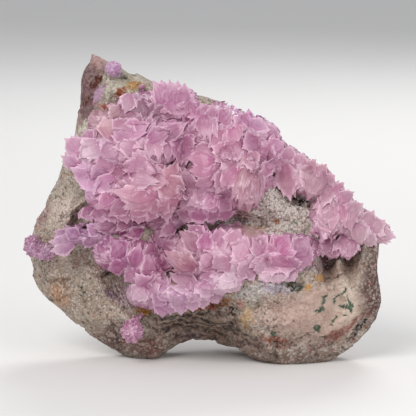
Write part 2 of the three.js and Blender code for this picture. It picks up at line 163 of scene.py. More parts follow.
# Each cluster is a rounded mound: centre x and z, how far its centre stands out, radii along x, y and z.
# Its leaves are (root x, root z, tip x, tip z, breadth, how far the tip stands clear). Those of the patches
# only say where their small crystals fan out from.
clusters = {
    "shoulder": ((-36, 66, 8, 10, 13, 8), [
        (-40.5, 69, -45, 72, 4, 1), (-35, 71, -40, 66.5, 5, 2), (-41.5, 64, -46, 66.5, 3.5, 1),
        (-38, 61.5, -43, 63.5, 3.5, 1), (-37, 58, -42.5, 60, 3, 1), (-34.5, 59.5, -38, 55.5, 3.5, 1),
        (-37, 72, -39, 74.5, 3.5, 1),
    ]),
    "crown": ((-24, 68.5, 8, 17, 18, 9.5), [
        (-31, 74, -32.5, 79, 4, 2), (-28, 74, -25, 78.5, 5, 2), (-22.5, 76, -21, 80.5, 2.5, 4),
        (-18.5, 75.5, -17.5, 79, 2, 3), (-23.5, 72, -30, 75.5, 5.5, 3), (-21.5, 69.5, -28.5, 72, 4, 2),
        (-26, 74, -18, 76.5, 5, 2), (-18, 72.5, -11.5, 75, 4, 2), (-13, 73.5, -6, 77, 3.5, 2),
        (-11.5, 75, -10, 78.5, 3.5, 1), (-17.5, 72, -18.5, 67, 2.5, 2), (-15.5, 72, -16, 66.5, 2, 2),
        (-13, 71.5, -13, 65.5, 2, 2), (-9.5, 71, -9.5, 64, 3, 3), (-6.5, 71, -8, 62, 3.5, 2),
        (-7.5, 72, -3.5, 69.5, 4, 2),
    ]),
    "belly": ((-21.5, 57.5, 10, 14, 19, 10), [
        (-25, 66.5, -15, 62.5, 6, 5), (-18.5, 62, -12.5, 59, 5, 2), (-28.5, 62.5, -15.4, 59.6, 6, 5),
        (-17, 56.5, -29.3, 57, 6, 3), (-18, 56.5, -26, 51.5, 6, 2), (-12.5, 55.5, -9.8, 67, 6, 3),
        (-15, 55, -18.5, 49, 6.5, 1), (-12.5, 56, -11, 49.5, 5.5, 1), (-13.5, 59.5, -7, 54, 5.5, 3),
        (-30, 67, -35.5, 63.5, 5, 1), (-28.5, 70, -34, 67.5, 5, 1), (-32, 63.5, -37, 59.5, 4, 1),
        (-30, 60.5, -35.5, 55, 4, 2), (-29, 56, -34.5, 51, 4.5, 2), (-25.5, 53, -31.5, 48.5, 4, 2),
        (-20.5, 52, -24, 48, 4, 1), (-21, 64, -27.5, 65.5, 5, 2), (-13, 52, -13, 45, 3.5, 2),
        (-11, 44.5, -15.5, 40.5, 3, 1),
    ]),
    "gulf": ((-7, 60, 6, 7, 12, 9.5), []),
    "valley": ((-6, 74, 5, 7, 12, 6.5), []),
    "spread": ((9.5, 68, 7, 8, 14, 7.5), []),
    "hollow": ((-14.5, 38, 5, 7.5, 10, 7.5), []),
    "step": ((-33, 76.5, 5, 6, 9, 5), []),
    "sill": ((-14, 45.5, 4, 8.5, 11, 5), []),
    "link": ((28, 61, 4, 5.5, 12.5, 5.5), []),
    "bend": ((19, 68, 3, 6.5, 12.5, 5.5), []),
    "cheek": ((-32, 54.5, 8, 8, 15, 7), []),
    "ridge": ((-15, 75, 6, 12.5, 11.5, 4.5), []),
    "recess": ((-22.5, 81, 1, 9, 9, 6), [
        (-21.5, 82.5, -21, 76, 6, 1), (-25.5, 80.5, -24, 75.5, 4.5, 1),
        (-24.8, 85, -26, 79.8, 3.6, 3), (-16.5, 82, -19, 76.5, 4, 1), (-28, 81, -31.5, 78, 3.5, 1),
    ]),
    "spur": ((-10.5, 82, 2, 8.5, 15, 7), [
        (-12.5, 83.5, -17.4, 90.2, 5, 1), (-12, 83.5, -14.6, 90.4, 4.5, 1), (-11, 83, -12, 90.4, 5, 1),
        (-10, 83, -9.4, 90.2, 5, 1), (-9, 83, -7, 89.4, 4.5, 1), (-8, 82, -4.6, 86, 4, 1),
        (-12, 81.5, -18, 80, 3, 3), (-9.5, 84.5, -9, 79, 7, 3),
        (-3.5, 82.5, -8, 78.5, 4.5, 3), (-12.5, 82, -14.5, 77.5, 4, 1),
    ]),
    "brow": ((2, 73.5, 6, 12.5, 16, 9.5), [
        (-1, 79.5, -2.5, 83, 4, 1), (1, 78.5, 1.5, 82.5, 3.5, 1), (-2, 79, -0.5, 73, 3, 3),
        (-1, 79.5, 1, 72.5, 3, 3), (-0.5, 79.5, 3, 73, 3, 2), (4.5, 78, 7, 81, 4, 1), (5, 74, 0, 70, 5, 1),
        (7.5, 75.5, 9.5, 71.5, 4.5, 1),
    ]),
    "heart": ((2, 63, 8, 10.5, 17, 11.5), [
        (1, 69.5, -5, 68.5, 3.5, 2), (0.5, 66.5, -6, 66, 4, 2), (0.5, 63.5, -5.5, 62.5, 4, 2),
        (1, 60, -4, 58, 4, 1), (9.5, 71.5, 3.5, 66.5, 5.5, 3), (8, 67, 3.5, 63.5, 5, 2),
        (8.5, 64, 3.5, 57, 5, 3), (5.5, 62, 2.5, 56, 4, 2), (6, 69, 1, 70.5, 5, 1),
        (-0.5, 56.5, -5.5, 53.5, 4.5, 1),
    ]),
    "cleft": ((-1, 52.5, 8, 11, 14, 6.5), [
        (-5, 54, -7.5, 64, 6, 1), (-2, 55, -6.5, 51.5, 4, 1), (2, 53.5, -2, 51, 4.5, 1),
        (5.5, 53, 3.5, 49.5, 4, 1),
    ]),
    "fan": ((11.5, 58.5, 10, 8, 16, 10.5), [
        (12.5, 65, 7.5, 53.5, 3.5, 1), (12.5, 65, 10, 51, 4, 2), (13, 65, 12.5, 49.5, 4.5, 2),
        (13, 65, 15, 51.5, 4, 2), (13.5, 64.5, 17, 54.5, 3.5, 1), (13, 68.5, 14, 62, 4, 3),
        (17, 61.5, 22.5, 67, 3, 5), (17, 59, 16.5, 64, 2.5, 4), (19.5, 55.5, 19, 61, 3, 3),
    ]),
    "rimTop": ((13.5, 72.5, 1, 10.5, 14, 5.5), [
        (12, 76, 7.5, 79, 5, 1), (15, 75.5, 17, 78.5, 5, 1), (19, 73.5, 21.5, 76, 4.5, 1),
        (20, 69, 24, 71, 4, 1), (15, 71.5, 10.5, 69.5, 5, 1), (17, 67.5, 21.5, 65, 5, 1),
    ]),
    "rimMid": ((23, 64, 2, 8.5, 13.5, 5.5), [
        (24.5, 62, 26.2, 51.8, 5, 3), (27, 60.5, 27.5, 55, 3.5, 2), (25, 65.5, 25.5, 70, 3.5, 1),
        (28.5, 64, 30, 67.5, 3.5, 1), (22.5, 65.5, 19, 63.5, 4, 1),
    ]),
    "saddle": ((32, 57.5, 5, 8, 13, 7), [
        (34.5, 62, 31.5, 53.8, 7.5, 2), (31.5, 62, 34, 65.5, 3, 1), (34.5, 60.5, 37.5, 64, 3, 1),
        (37, 58, 40, 60.5, 3, 1), (37.5, 57.5, 36, 50.5, 5, 1),
    ]),
    "arm": ((39.5, 48, 8, 9, 14, 8.5), [
        (40.5, 54, 34.5, 43.5, 4.5, 2), (40.5, 54.5, 35, 41, 5.5, 3), (40.5, 54, 38.5, 41, 5, 2),
        (43, 52, 45, 43, 5, 1), (39.5, 55.5, 43, 58, 3, 1), (41.5, 53, 46, 55, 3, 1),
        (37, 51, 34.5, 47, 3.5, 1),
    ]),
    "wrist": ((48, 43, 6, 7.5, 12, 6), [
        (46, 48, 48.5, 50, 3, 1), (49.5, 45.5, 52.5, 49, 4, 1), (46.5, 44.5, 48, 38.5, 5, 2),
        (50, 41, 53.5, 38, 3.5, 1),
    ]),
    "knuckle": ((46, 48.2, 6, 5.5, 11, 4), [(43.5, 48.5, 48.8, 51, 4, 1)]),
    "finger": ((54, 41.5, 6, 5, 9, 4), [(52, 43.5, 56, 46, 4, 1), (54, 41.5, 59.5, 40.5, 3.5, 1)]),
    "cuff": ((41.5, 37.5, 8, 8.5, 11, 4.5), [
        (43.5, 40.5, 44, 34.5, 5, 3), (39.5, 39.5, 38.5, 34, 5, 1), (36.5, 40, 35.5, 35, 4.5, 1),
    ]),
    "bandLeft": ((-4, 35.5, 10, 10.5, 16, 8.5), [
        (-2, 41, -6.5, 45.5, 4, 2), (-3.5, 39, -8.5, 42.5, 4, 2), (-4.5, 36.5, -10.5, 40, 5, 3),
        (-5, 33, -13, 37, 5, 3), (-5, 27, -12, 29.5, 5, 2), (-1, 38.5, -0.5, 43, 4, 2),
        (2, 34.5, -3, 37, 5.5, 2),
    ]),
    "bandMid": ((9.5, 36, 10, 14.5, 19, 9), [
        (2.5, 39.5, 4.5, 44, 4, 2), (7.5, 40, 10, 44, 5, 2), (6, 35, 1.5, 32.5, 5, 2),
        (12, 37, 7, 40.5, 5.5, 2), (13.5, 33, 8.5, 30.5, 5.5, 2), (10.5, 30.5, 2, 27, 5.5, 3),
        (17, 38, 13.5, 41.5, 5, 2), (18, 34.5, 15, 31, 5, 1),
    ]),
    "bandRight": ((25, 37, 10, 12, 18, 6.5), [
        (22.5, 38, 25.5, 42, 5, 2), (24, 36, 20.5, 32.5, 5.5, 2), (28, 37.5, 31.5, 41, 5, 2),
        (28.5, 36, 32, 33.5, 4.5, 2), (25, 35, 27, 31.5, 4.5, 1), (19.5, 32.5, 16, 29, 5, 1),
    ]),
    "bandEnd": ((31, 38.5, 9, 6, 13, 4.5), []),
    "lip": ((-7, 24.6, 12, 13, 15, 4.8), [
        (-12, 26, -15.5, 21.5, 4, 1), (-8.5, 25, -11, 20.5, 4.5, 1), (-4, 26, -6, 21, 4.5, 1),
        (-0.5, 27.5, -0.5, 22.5, 4.5, 1), (3, 28, 4.5, 24, 4, 1), (7.5, 28.5, 10, 25.5, 4, 1),
        (-14.5, 23, -17.5, 19.5, 3.5, 1),
    ]),
    "lipRight": ((5, 28.5, 12, 10, 17, 5.5), []),
    "blush": ((-19.5, 30, 8, 7, 14, 7), [
        (-18, 33, -18, 40.5, 4, 3), (-15.5, 30.5, -14, 37.5, 4, 3), (-17.5, 29, -19, 36, 4, 2),
        (-15, 25.5, -15.5, 31.5, 4, 2), (-19, 26, -22.5, 30.5, 4, 1), (-18, 24.5, -14.5, 26.5, 3.5, 1),
    ]),
    "magenta": ((-25.5, 35, 4, 13, 16, 8), [
        (-23, 33, -21.5, 39, 4, 1), (-27.5, 35.5, -29.5, 40, 5, 1), (-32, 36.5, -34.5, 40.5, 4, 1),
        (-27.5, 32.5, -31.5, 31, 4, 1), (-22.5, 30, -26.5, 26.5, 4, 1), (-20.5, 25, -23.5, 21.5, 4, 1),
    ]),
    "pale": ((-19.5, 22.3, 8.5, 7.5, 12.5, 5.3), []),
    "hemLeft": ((-15.5, 18.5, 6, 5, 12, 4.5), [
        (-14.5, 21, -14.5, 15.4, 4, 1), (-12.5, 21, -12, 16.2, 4, 1),
    ]),
    "hemMid": ((-9, 20.3, 7.5, 8, 12, 4.2), [
        (-9, 22, -8.5, 17.2, 4, 1), (-5.5, 22.5, -5, 18.2, 4, 1), (-2, 23, -1.5, 18.8, 4, 1),
    ]),
    "hemBand": ((22, 30, 16, 10, 10.5, 4), [
        (16.5, 34.5, 15.5, 30.5, 4, 1), (20, 34.5, 20, 30, 4.5, 1), (24, 34.5, 24.5, 30, 4.5, 1),
        (28, 34.5, 29, 31, 4, 1),
        (18, 31.5, 17.5, 28, 4, 1), (21.5, 31.5, 22, 27.8, 4, 1), (25.5, 31.5, 27, 28.4, 4, 1),
    ]),
    "under": ((-28, 47, 5, 13, 11.5, 4), [
        (-38, 49.5, -36.5, 45.5, 4, 1), (-34, 50, -33, 45, 4.5, 1), (-30, 50.5, -29, 45.5, 4.5, 1),
        (-26, 50.5, -25.5, 45.5, 4.5, 1), (-22, 50, -22, 45.5, 4.5, 1), (-18.5, 50, -19, 46, 4, 1),
    ]),
    "underCleft": ((-2, 46.5, 5, 9, 12, 3.5), [
        (-7, 49, -7.5, 45, 4, 1), (-3, 49.5, -3, 44.8, 4, 1), (1, 49.5, 1.5, 45, 4, 1),
        (5, 49, 6, 45.5, 4, 1),
    ]),
    "streakEnd": ((-47, 39, 0, 7, 8, 4.8), [
        (-43, 41, -49, 42.5, 3, 1), (-43, 39.5, -50.5, 39, 3.5, 1), (-43.5, 38, -50, 36, 3.5, 1),
    ]),
    "hemRight": ((0.5, 22.8, 9, 7, 12, 3.8), [(2, 24, 3, 20.2, 4, 1)]),
    "pocket": ((-28.5, 43.5, 4, 13.5, 11.5, 4), [
        (-30.5, 45, -36, 43.5, 3.5, 1), (-21.5, 42.5, -27, 40.5, 3, 3), (-25, 46, -29, 43, 3.5, 1),
    ]),
    "streak": ((-38, 40.5, 4, 11, 11, 3.5), [
        (-41.5, 41, -45.5, 43, 3, 1), (-37, 40, -39, 37, 3, 1), (-35, 42.5, -38.5, 44.5, 3, 1),
        (-33, 41, -30.5, 37.5, 3, 1),
    ]),
}

patchLeft = {
    "tip": ((-56, 36, 0, 3.4, 6.5, 3.8), [
        (-55.5, 37, -59, 39, 3, 1), (-55.5, 35.5, -59.5, 34, 3, 1), (-53.5, 35.5, -54.5, 38.5, 2.5, 1),
    ]),
    "inner": ((-52, 34.5, 2, 4.4, 8.5, 2.9), [(-51, 34.5, -48, 36, 2, 1), (-52, 35.5, -51.5, 32, 2.5, 1)]),
}

patchLow = {
    "foot": ((-24, 11, 8, 4.2, 13, 4.8), [
        (-23.5, 13.5, -26, 16, 3, 1), (-23.5, 10.5, -22, 6.5, 3, 1), (-24.5, 12, -27.5, 10.5, 3, 1),
        (-22.5, 14, -20.5, 15.5, 3, 1),
    ]),
}

patchSpire = {
    "spire": ((-30, 93, 1, 2.8, 8, 2.6), [
        (-30, 93.5, -32, 95.5, 1.5, 1), (-29.5, 93.5, -27.5, 94.5, 1.5, 1), (-30, 93, -31, 91, 1.5, 1),
    ]),
}

# Pinks by place, as seen from the front: (x, z, radius x, radius z, turn, colour).
pinks = [
    (-18.6, 52.2, 9.5, 6.5, 0, (218, 152, 176)),  # the belly's salmon underside
    (-12.8, 55.4, 3.2, 4, 0, (208, 142, 150)),
    (14, 41, 4.2, 2.2, 0, (222, 186, 168)),
    (-41, 39.4, 9, 4, 0, (142, 86, 140)),  # the violet streak at the left
    (-37.5, 41, 2.5, 1.5, 20, (214, 160, 208)),
    (-54.5, 34.6, 6, 4.5, 0, (184, 132, 172)),
    (-27.5, 33, 9, 7.5, 0, (168, 64, 134)),  # the magenta hollow
    (-39.7, 66.6, 2.8, 2.8, 0, (238, 208, 224)),
    (6, 24.3, 4.2, 2.6, 10, (242, 218, 232)),
    (52.5, 38.7, 4.5, 2.6, 0, (234, 202, 218)),
    (-25.3, 81.9, 3, 4, 0, (206, 166, 186)),
    (-21.8, 78.4, 7, 3, 0, (152, 98, 124)),  # the dusky recess under the spire, its darker pink partly painted shade in the recess
    (-7, 56, 3.4, 5.6, 20, (160, 108, 136)),
    (-7, 35.8, 3, 3, 0, (156, 112, 128)),
    (-25, 42.2, 12, 2.2, 0, (150, 68, 112)),  # in the shade under the belly
    (13.4, 78.4, 6, 2, -20, (198, 130, 196)),
    (16.6, 73.9, 3, 2, 0, (228, 188, 216)),
    (4.5, 65, 8, 9, 0, (206, 134, 168)),
    (10.2, 62.4, 3, 2.4, 0, (216, 182, 180)),
    (12.5, 54, 4.5, 6, 0, (180, 120, 136)),
    (33.3, 57, 10, 8, 0, (204, 152, 168)),
    (48, 42.6, 11, 8, 0, (212, 170, 184)),
    (43.2, 45.4, 2.2, 4, 0, (190, 100, 140)),
    (42.2, 33.3, 5, 3, 0, (190, 114, 154)),
    (0.6, 37.8, 2.2, 3.3, 0, (196, 104, 162)),
    (21.4, 34, 4.6, 4.2, 0, (206, 108, 164)),
    (-7.4, 30.7, 5, 6, 0, (194, 130, 148)),
    (-18, 32, 4.5, 7, 0, (188, 98, 148)),
    (-5.8, 21, 13, 5, 0, (238, 194, 224)),
    (-12, 18, 4, 2.5, 0, (196, 130, 190)),
    (19.8, 26.9, 8, 2.6, 0, (236, 202, 220)),
    (-39.4, 57, 5.5, 5.5, 0, (250, 198, 240)),
    (-33, 49, 6, 4, 0, (196, 108, 162)),
    (-50, 36, 3.4, 2.6, 0, (226, 196, 222)),
    (-30, 92, 4, 3, 0, (206, 162, 214)),
    (-33, 77.5, 5, 5, 0, (214, 172, 172)),
    (10, 34, 9, 5, 0, (240, 186, 212)),
    (10.6, 61, 2, 3, 0, (226, 196, 184)),
    (-20, 66, 6, 3, 10, (222, 166, 192)),
    (-38.5, 31, 3, 4.5, 15, (228, 202, 216)),
    (-25.5, 20.5, 5.5, 4, -35, (224, 190, 210)),
]

# Dark and rusty colours in the deepest gaps between the clusters, in the same form: rust stains, and painted
# shade where the gaps are deepest.
gapStainsAndShade = [
    (-8.3, 60.5, 8.2, 1.1, 47.6, (66, 44, 42)),
    (-8.6, 40.3, 2.2, 1.5, 10, (52, 44, 38)),
    (-18.9, 40, 1.6, 2, 0, (112, 78, 48)),
    (-11.8, 25, 2.6, 1.4, -20, (94, 56, 38)),
    (-27.5, 79, 1.8, 1.2, 0, (110, 76, 60)),
    (30.8, 33.6, 1.6, 1.8, 0, (70, 56, 50)),
    (31, 50.2, 3.8, 1.3, -42, (58, 50, 44)),
]

pinkLook = {
    "base": (208, 142, 182),
    "baseWeight": 0.35,
    "spotWeight": 1.6,
    "spotFalloff": 1.4,
    "gapDarkEdge": 1.5,
    "cast": (0.555, 0.54, 0.52),
    "bladeSpread": 0.06,  # brightness from blade to blade
    "leafSpread": 0.08,
    "druseDeepening": 0.94,
    "bodyDeepening": 0.88,
}


def frontView(points):
    # x and z as they are seen from the front, in millimetres, for points in millimetres
    height = layout["sightHeight"]
    nearness = 1 - points[..., 1] / layout["sightDistance"]
    x = points[..., 0] * nearness
    z = (points[..., 2] - height) * nearness + height + points[..., 1] * layout["sightSlope"]
    return x, z


def spotReach(x, z, spot):
    # the square of how far out x, z lies in a spot: 0 in its middle, 1 at its edge
    centreX, centreZ, radiusX, radiusZ, turn, _ = spot
    c, s = math.cos(math.radians(turn)), math.sin(math.radians(turn))
    alongX = ((x - centreX) * c + (z - centreZ) * s) / radiusX
    alongZ = ((z - centreZ) * c - (x - centreX) * s) / radiusZ
    return alongX**2 + alongZ**2


def pinkAt(points):
    # the crystals' colour at points, in millimetres
    x, z = frontView(points)
    weight = np.full(x.shape, pinkLook["baseWeight"])
    colour = np.array(linear(*pinkLook["base"])) * weight[..., None]
    for spot in pinks:
        near = np.exp(-pinkLook["spotFalloff"] * spotReach(x, z, spot)) * pinkLook["spotWeight"]
        weight = weight + near
        colour = colour + np.array(linear(*spot[5])) * near[..., None]
    return colour / weight[..., None] * np.array(pinkLook["cast"])


def gapDarkAt(points):
    # how far the gaps are darkened at points, by rust stains and painted shade, and that colour
    x, z = frontView(points)
    amount = np.zeros(x.shape)
    colour = np.zeros((*x.shape, 3))
    for spot in gapStainsAndShade:
        near = np.clip(pinkLook["gapDarkEdge"] - spotReach(x, z, spot), 0, 1)
        colour = np.where((near > amount)[..., None], np.array(linear(*spot[5])), colour)
        amount = np.maximum(amount, near)
    return amount, colour


moundLook = {
    "softness": 0.7,  # how gently the mounds run into each other
    "skirtStart": 0.04,  # where a mound's dome gives way to a straight skirt
    "skirtSlope": 2.5,
    "skirtEnd": -0.3,
}


def skinDepth(x, z, named):
    # how far the clusters' rounded surface stands out at x, z
    softness, start = moundLook["softness"], moundLook["skirtStart"]
    total = np.zeros(np.shape(x))
    for (moundX, moundZ, out, radiusX, radiusY, radiusZ), _ in named.values():
        inside = 1 - ((x - moundX) / radiusX) ** 2 - ((z - moundZ) / radiusZ) ** 2
        dome = np.sqrt(np.maximum(inside, start))
        skirt = math.sqrt(start) + (inside - start) * moundLook["skirtSlope"]
        rise = np.clip(np.where(inside > start, dome, skirt), moundLook["skirtEnd"], 1)
        total += np.exp((out + radiusY * rise) / softness)
    return softness * np.log(total)


# Each blade is modelled once, a unit long and broad. Its stations are place along it, breadth and thickness.
bladeForms = {
    "leaf": {
        "sides": 6,
        "stations": [
            (0.0, 0.36, 0.5), (0.2, 0.72, 0.85), (0.4, 1.0, 1.0), (0.43, 0.86, 0.97), (0.59, 0.74, 0.86),
            (0.62, 0.58, 0.8), (0.77, 0.44, 0.62), (0.8, 0.28, 0.5),
        ],
    },
    # one of the crystals that end as teeth along a leaf's margin
    "kite": {
        "sides": 4,
        "stations": [(0.0, 0.45, 0.6), (0.3, 0.82, 0.95), (0.56, 1.0, 1.0), (0.79, 0.48, 0.6)],
    },
    # one of the small crystals between the leaves
    "blade": {
        "sides": 4,
        "stations": [
            (0.0, 0.35, 0.5), (0.2, 0.8, 0.95), (0.45, 1.0, 1.0), (0.68, 0.82, 0.8), (0.86, 0.46, 0.5),
        ],
    },
}


def modelBlade(name, form):
    stations, sides = form["stations"], form["sides"]
    tipSize = 0.02
    sharpening = 0.35  # towards a lens, sharp at its edges
    bpy.ops.object.select_all(action="DESELECT")
    # the ring stands up with a corner at each margin
    turn = math.pi / 6 if sides == 6 else 0
    bpy.ops.mesh.primitive_circle_add(
        vertices=sides, radius=0.5, fill_type="NGON", rotation=(math.pi / 2, turn, 0)
    )
    blade = bpy.context.object
    blade.name = name
    bpy.ops.object.transform_apply(rotation=True)
    bpy.ops.object.mode_set(mode="EDIT")
    bpy.ops.mesh.select_all(action="SELECT")
    bpy.ops.transform.resize(value=(stations[0][1], 1, stations[0][2]))
    for before, after in zip(stations, stations[1:]):
        bpy.ops.mesh.extrude_region_move(TRANSFORM_OT_translate={"value": (0, after[0] - before[0], 0)})
        bpy.ops.transform.resize(value=(after[1] / before[1], 1, after[2] / before[2]))
    bpy.ops.mesh.extrude_region_move(TRANSFORM_OT_translate={"value": (0, 1 - stations[-1][0], 0)})
    bpy.ops.mesh.merge(type="CENTER")
    bpy.ops.mesh.select_all(action="SELECT")
    bpy.ops.mesh.normals_make_consistent(inside=False)
    bpy.ops.object.mode_set(mode="OBJECT")
    place = np.array([v.co[:] for v in blade.data.vertices])
    along, breadths, depths = zip(*stations, (1, tipSize, tipSize))
    across = np.clip(place[:, 0] / np.interp(place[:, 1], along, breadths) + 0.5, 0, 1)
    halfDepth = 0.5 * np.interp(place[:, 1], along, depths)
    place[:, 1] = np.clip(place[:, 1], 0, 1)
    place[:, 2] *= (np.abs(place[:, 2]) / halfDepth + 1e-6) ** sharpening
    faces = [list(p.vertices) for p in blade.data.polygons]
    bpy.data.objects.remove(blade)
    return {"place": place, "across": across, "faces": faces}


bladeShapes = {name: modelBlade(name, form) for name, form in bladeForms.items()}
print("blades modelled")


class Growth:
    # gathers blades, and the body under them, until they are joined into one mesh
    def __init__(self):
        self.places, self.uvs, self.streaks, self.tints, self.faces = [], [], [], [], []
        self.count = 0

    def add(self, places, faces, tints, uv, streak):
        self.places.append(places)
        self.uvs.append(uv)
        self.streaks.append(streak)
        self.tints.append(tints)
        self.faces.extend([[self.count + v for v in face] for face in faces])
        self.count += len(places)

    def addBlades(self, shape, places, tints, length, breadth, random):
        # places: blade, vertex, 3 in millimetres; tints: blade, 3; length and breadth: blade, 1
        blades, corners = places.shape[:2]
        uv = np.stack([shape["across"], shape["place"][:, 1]], axis=1)
        across = uv[:, 0] * breadth + random.uniform(0, 500, (blades, 1))  # each has its own striations
        streak = np.stack([across, uv[:, 1] * length], axis=-1).reshape(-1, 2)
        faces = [[blade * corners + v for v in face] for blade in range(blades) for face in shape["faces"]]
        tints = np.repeat(tints, corners, axis=0)
        self.add(places.reshape(-1, 3), faces, tints, np.tile(uv, (blades, 1)), streak)

    def join(self, name):
        place = np.concatenate(self.places) * mm
        low, high = (np.array(corner) for corner in cadBox)
        place = np.clip(place, low + 1e-5, high - 1e-5)
        mesh = bpy.data.meshes.new(name)
        mesh.from_pydata(place.tolist(), [], self.faces)
        piece = bpy.data.objects.new(name, mesh)
        bpy.context.scene.collection.objects.link(piece)
        corners = np.zeros(len(mesh.loops), np.int32)
        mesh.loops.foreach_get("vertex_index", corners)
        for layer, parts in (("blade", self.uvs), ("streak", self.streaks)):
            uv = np.concatenate(parts)[corners].astype(np.float32)
            mesh.uv_layers.new(name=layer).data.foreach_set("uv", uv.ravel())
        tint = np.insert(np.concatenate(self.tints), 3, 1, axis=1).astype(np.float32)
        mesh.color_attributes.new("tint", "FLOAT_COLOR", "POINT").data.foreach_set("color", tint.ravel())
        mesh.validate()
        return piece


def unit(vectors):
    return vectors / np.maximum(np.linalg.norm(vectors, axis=-1, keepdims=True), 1e-9)


def onFront(flat):
    # points x, z as x, 0, z
    return np.insert(flat, 1, 0, axis=-1)


def varied(colours, random, spread):
    # each blade a little lighter or darker, and a little warmer or cooler
    light = random.normal(1, spread, (len(colours), 1))
    warmth = random.normal(0, spread * 0.3, len(colours))
    hue = np.stack([1 + warmth * 0.4, 1 - np.abs(warmth) * 0.3, 1 - warmth], axis=1)
    return np.clip(colours * np.clip(light, 0.6, 1.35) * hue, 0.01, 0.95)


# The large leaves, laid on the clusters. Each fans out into crystals, which end as teeth along its margins.
leafLook = {
    "broaden": 1.8,
    "lengthen": 0.18,  # how much further back each root lies
    "thickness": 0.13,  # of the breadth
    "lift": (0, 0.5),  # millimetres off the mound
    "overKites": 0.16,  # millimetres that a leaf lies over its crystals
    "clear": 0.2,  # how much of each leaf's own clearance is used
    "rootSink": 1.0,
    "deepest": 2.2,  # how far a leaf sinks off its straight line
    "drapeLimit": 0.3,  # and how far it rises off it, of its length
    "steepest": 0.8,
    "bow": 0.06,
    "skew": 0.3,
}

kiteLook = {
    "spacing": 2.3,  # millimetres between the crystals of a leaf
    "reach": 1.04,  # of the leaf's length, in its middle
    "shortening": 0.42,  # and how much less at its sides
    "breadth": (0.24, 0.35),  # of the leaf's
    "start": (0.05, 0.3),
    "startSpread": 0.12,
    "endSpread": 0.5,
    "lowering": 0.16,
    "tilt": 0.04,
    "lightness": 0.03,
}

infillLook = {
    "spacing": 6.6,
    "length": (8, 12),
    "breadth": (0.4, 0.5),  # of the length
    "shortest": 4,
    "clear": (0.6, 1.6),
    "middleRim": 0.93,  # how near a cluster's rim their middles lie, at most
    "endRim": 0.97,
    "bare": ("recess", "step"),  # clusters of small crystals alone
}


def leafRows(named, random):
    # a row for every leaf, and for each crystal it fans out into: root x, z, tip x, z, breadth, clearance,
    # 1 if it is such a crystal, how far it is raised, how far it is tilted and how light it is
    rows = []
    for _, leaves in named.values():
        for rootX, rootZ, tipX, tipZ, breadth, clear in leaves:
            broad = breadth * leafLook["broaden"]
            rootX -= (tipX - rootX) * leafLook["lengthen"]
            rootZ -= (tipZ - rootZ) * leafLook["lengthen"]
            light = random.normal(1, pinkLook["leafSpread"])
            lift = random.uniform(*leafLook["lift"])
            over = lift + leafLook["overKites"]
            rows.append((rootX, rootZ, tipX, tipZ, broad * 0.95, clear, 0, over, 0, light))
            rows += kiteRows((rootX, rootZ), (tipX, tipZ), broad, clear, lift, light, random)
    return np.array(rows)


def kiteRows(root, tip, broad, clear, lift, light, random):
    look = kiteLook
    root = np.array(root, float)
    along = np.array(tip) - root
    side = np.array([-along[1], along[0]]) / np.hypot(*along)
    half = max(2, round(broad / look["spacing"] / 2))
    rows = []
    for i in range(-half, half + 1):
        aside = i / half + random.uniform(-0.15, 0.15)
        reach = look["reach"] - look["shortening"] * abs(aside) + random.uniform(-0.05, 0.05)
        start = root + along * random.uniform(*look["start"]) * reach
        start = start + side * aside * broad * look["startSpread"]
        end = root + along * reach + side * aside * broad * look["endSpread"]
        kite = broad * random.uniform(*look["breadth"])
        raised = lift - look["lowering"] * abs(aside)
        tilt = random.uniform(0, look["tilt"]) * np.sign(-i)
        shade = light + random.normal(0, look["lightness"])
        rows.append((*start, *end, kite, clear * reach, 1, raised, tilt, shade))
    return rows


def infill(named, random):
    # leaves between those above, each turned as its neighbours are
    look = infillLook
    drawn = [leaf for _, leaves in named.values() for leaf in leaves]
    root, tip = (np.array([leaf[start:start + 2] for leaf in drawn], float) for start in (0, 2))
    turned, middle = unit(tip - root), (root + tip) / 2
    mounds = np.array([mound for mound, _ in named.values()], float)
    low = (mounds[:, :2] - mounds[:, [3, 5]]).min(axis=0)
    high = (mounds[:, :2] + mounds[:, [3, 5]]).max(axis=0)
    spot = random.uniform(low, high, (int(np.prod(high - low) * 2), 2))
    place = onFront(spot)
    which, reach = nearestCluster(place, named)
    darkened, _ = gapDarkAt(place)
    bare = np.isin(np.array(list(named))[which], look["bare"])
    inside = np.nonzero((reach < look["middleRim"]) & (darkened < 0.3) & ~bare)[0]
    leaves = []
    for i in scattered(inside, place, look["spacing"], onFront(middle), random):
        gap = np.hypot(*(middle - spot[i]).T)
        away = unit(spot[i] - springPoints(named)[which[i]])
        heading = (turned * np.exp(-gap**2 / 40)[:, None]).sum(axis=0) + away * 0.3
        heading = heading + random.normal(0, 0.12, 2)
        heading = heading / np.hypot(*heading)
        length = random.uniform(*look["length"]) * (1.05 - 0.35 * reach[i])
        for _ in range(6):
            ends = spot[i] + np.outer((0.5, -0.68), heading * length)
            if nearestCluster(onFront(ends), named)[1].max() < look["endRim"]:
                break
            length *= 0.85
        else:
            continue
        if length < look["shortest"]:
            continue
        start = spot[i] - heading * length * 0.5
        breadth = length * random.uniform(*look["breadth"])
        leaves.append((*start, *ends[0], breadth, random.uniform(*look["clear"])))
    return leaves


def layLeaves(growth, named, random):
    filled = dict(named)
    filled["infill"] = (None, infill(named, random))
    rows = leafRows(filled, random)
    drape(growth, bladeShapes["leaf"], rows[rows[:, 6] == 0], named, random)
    drape(growth, bladeShapes["kite"], rows[rows[:, 6] == 1], named, random)
    return rows


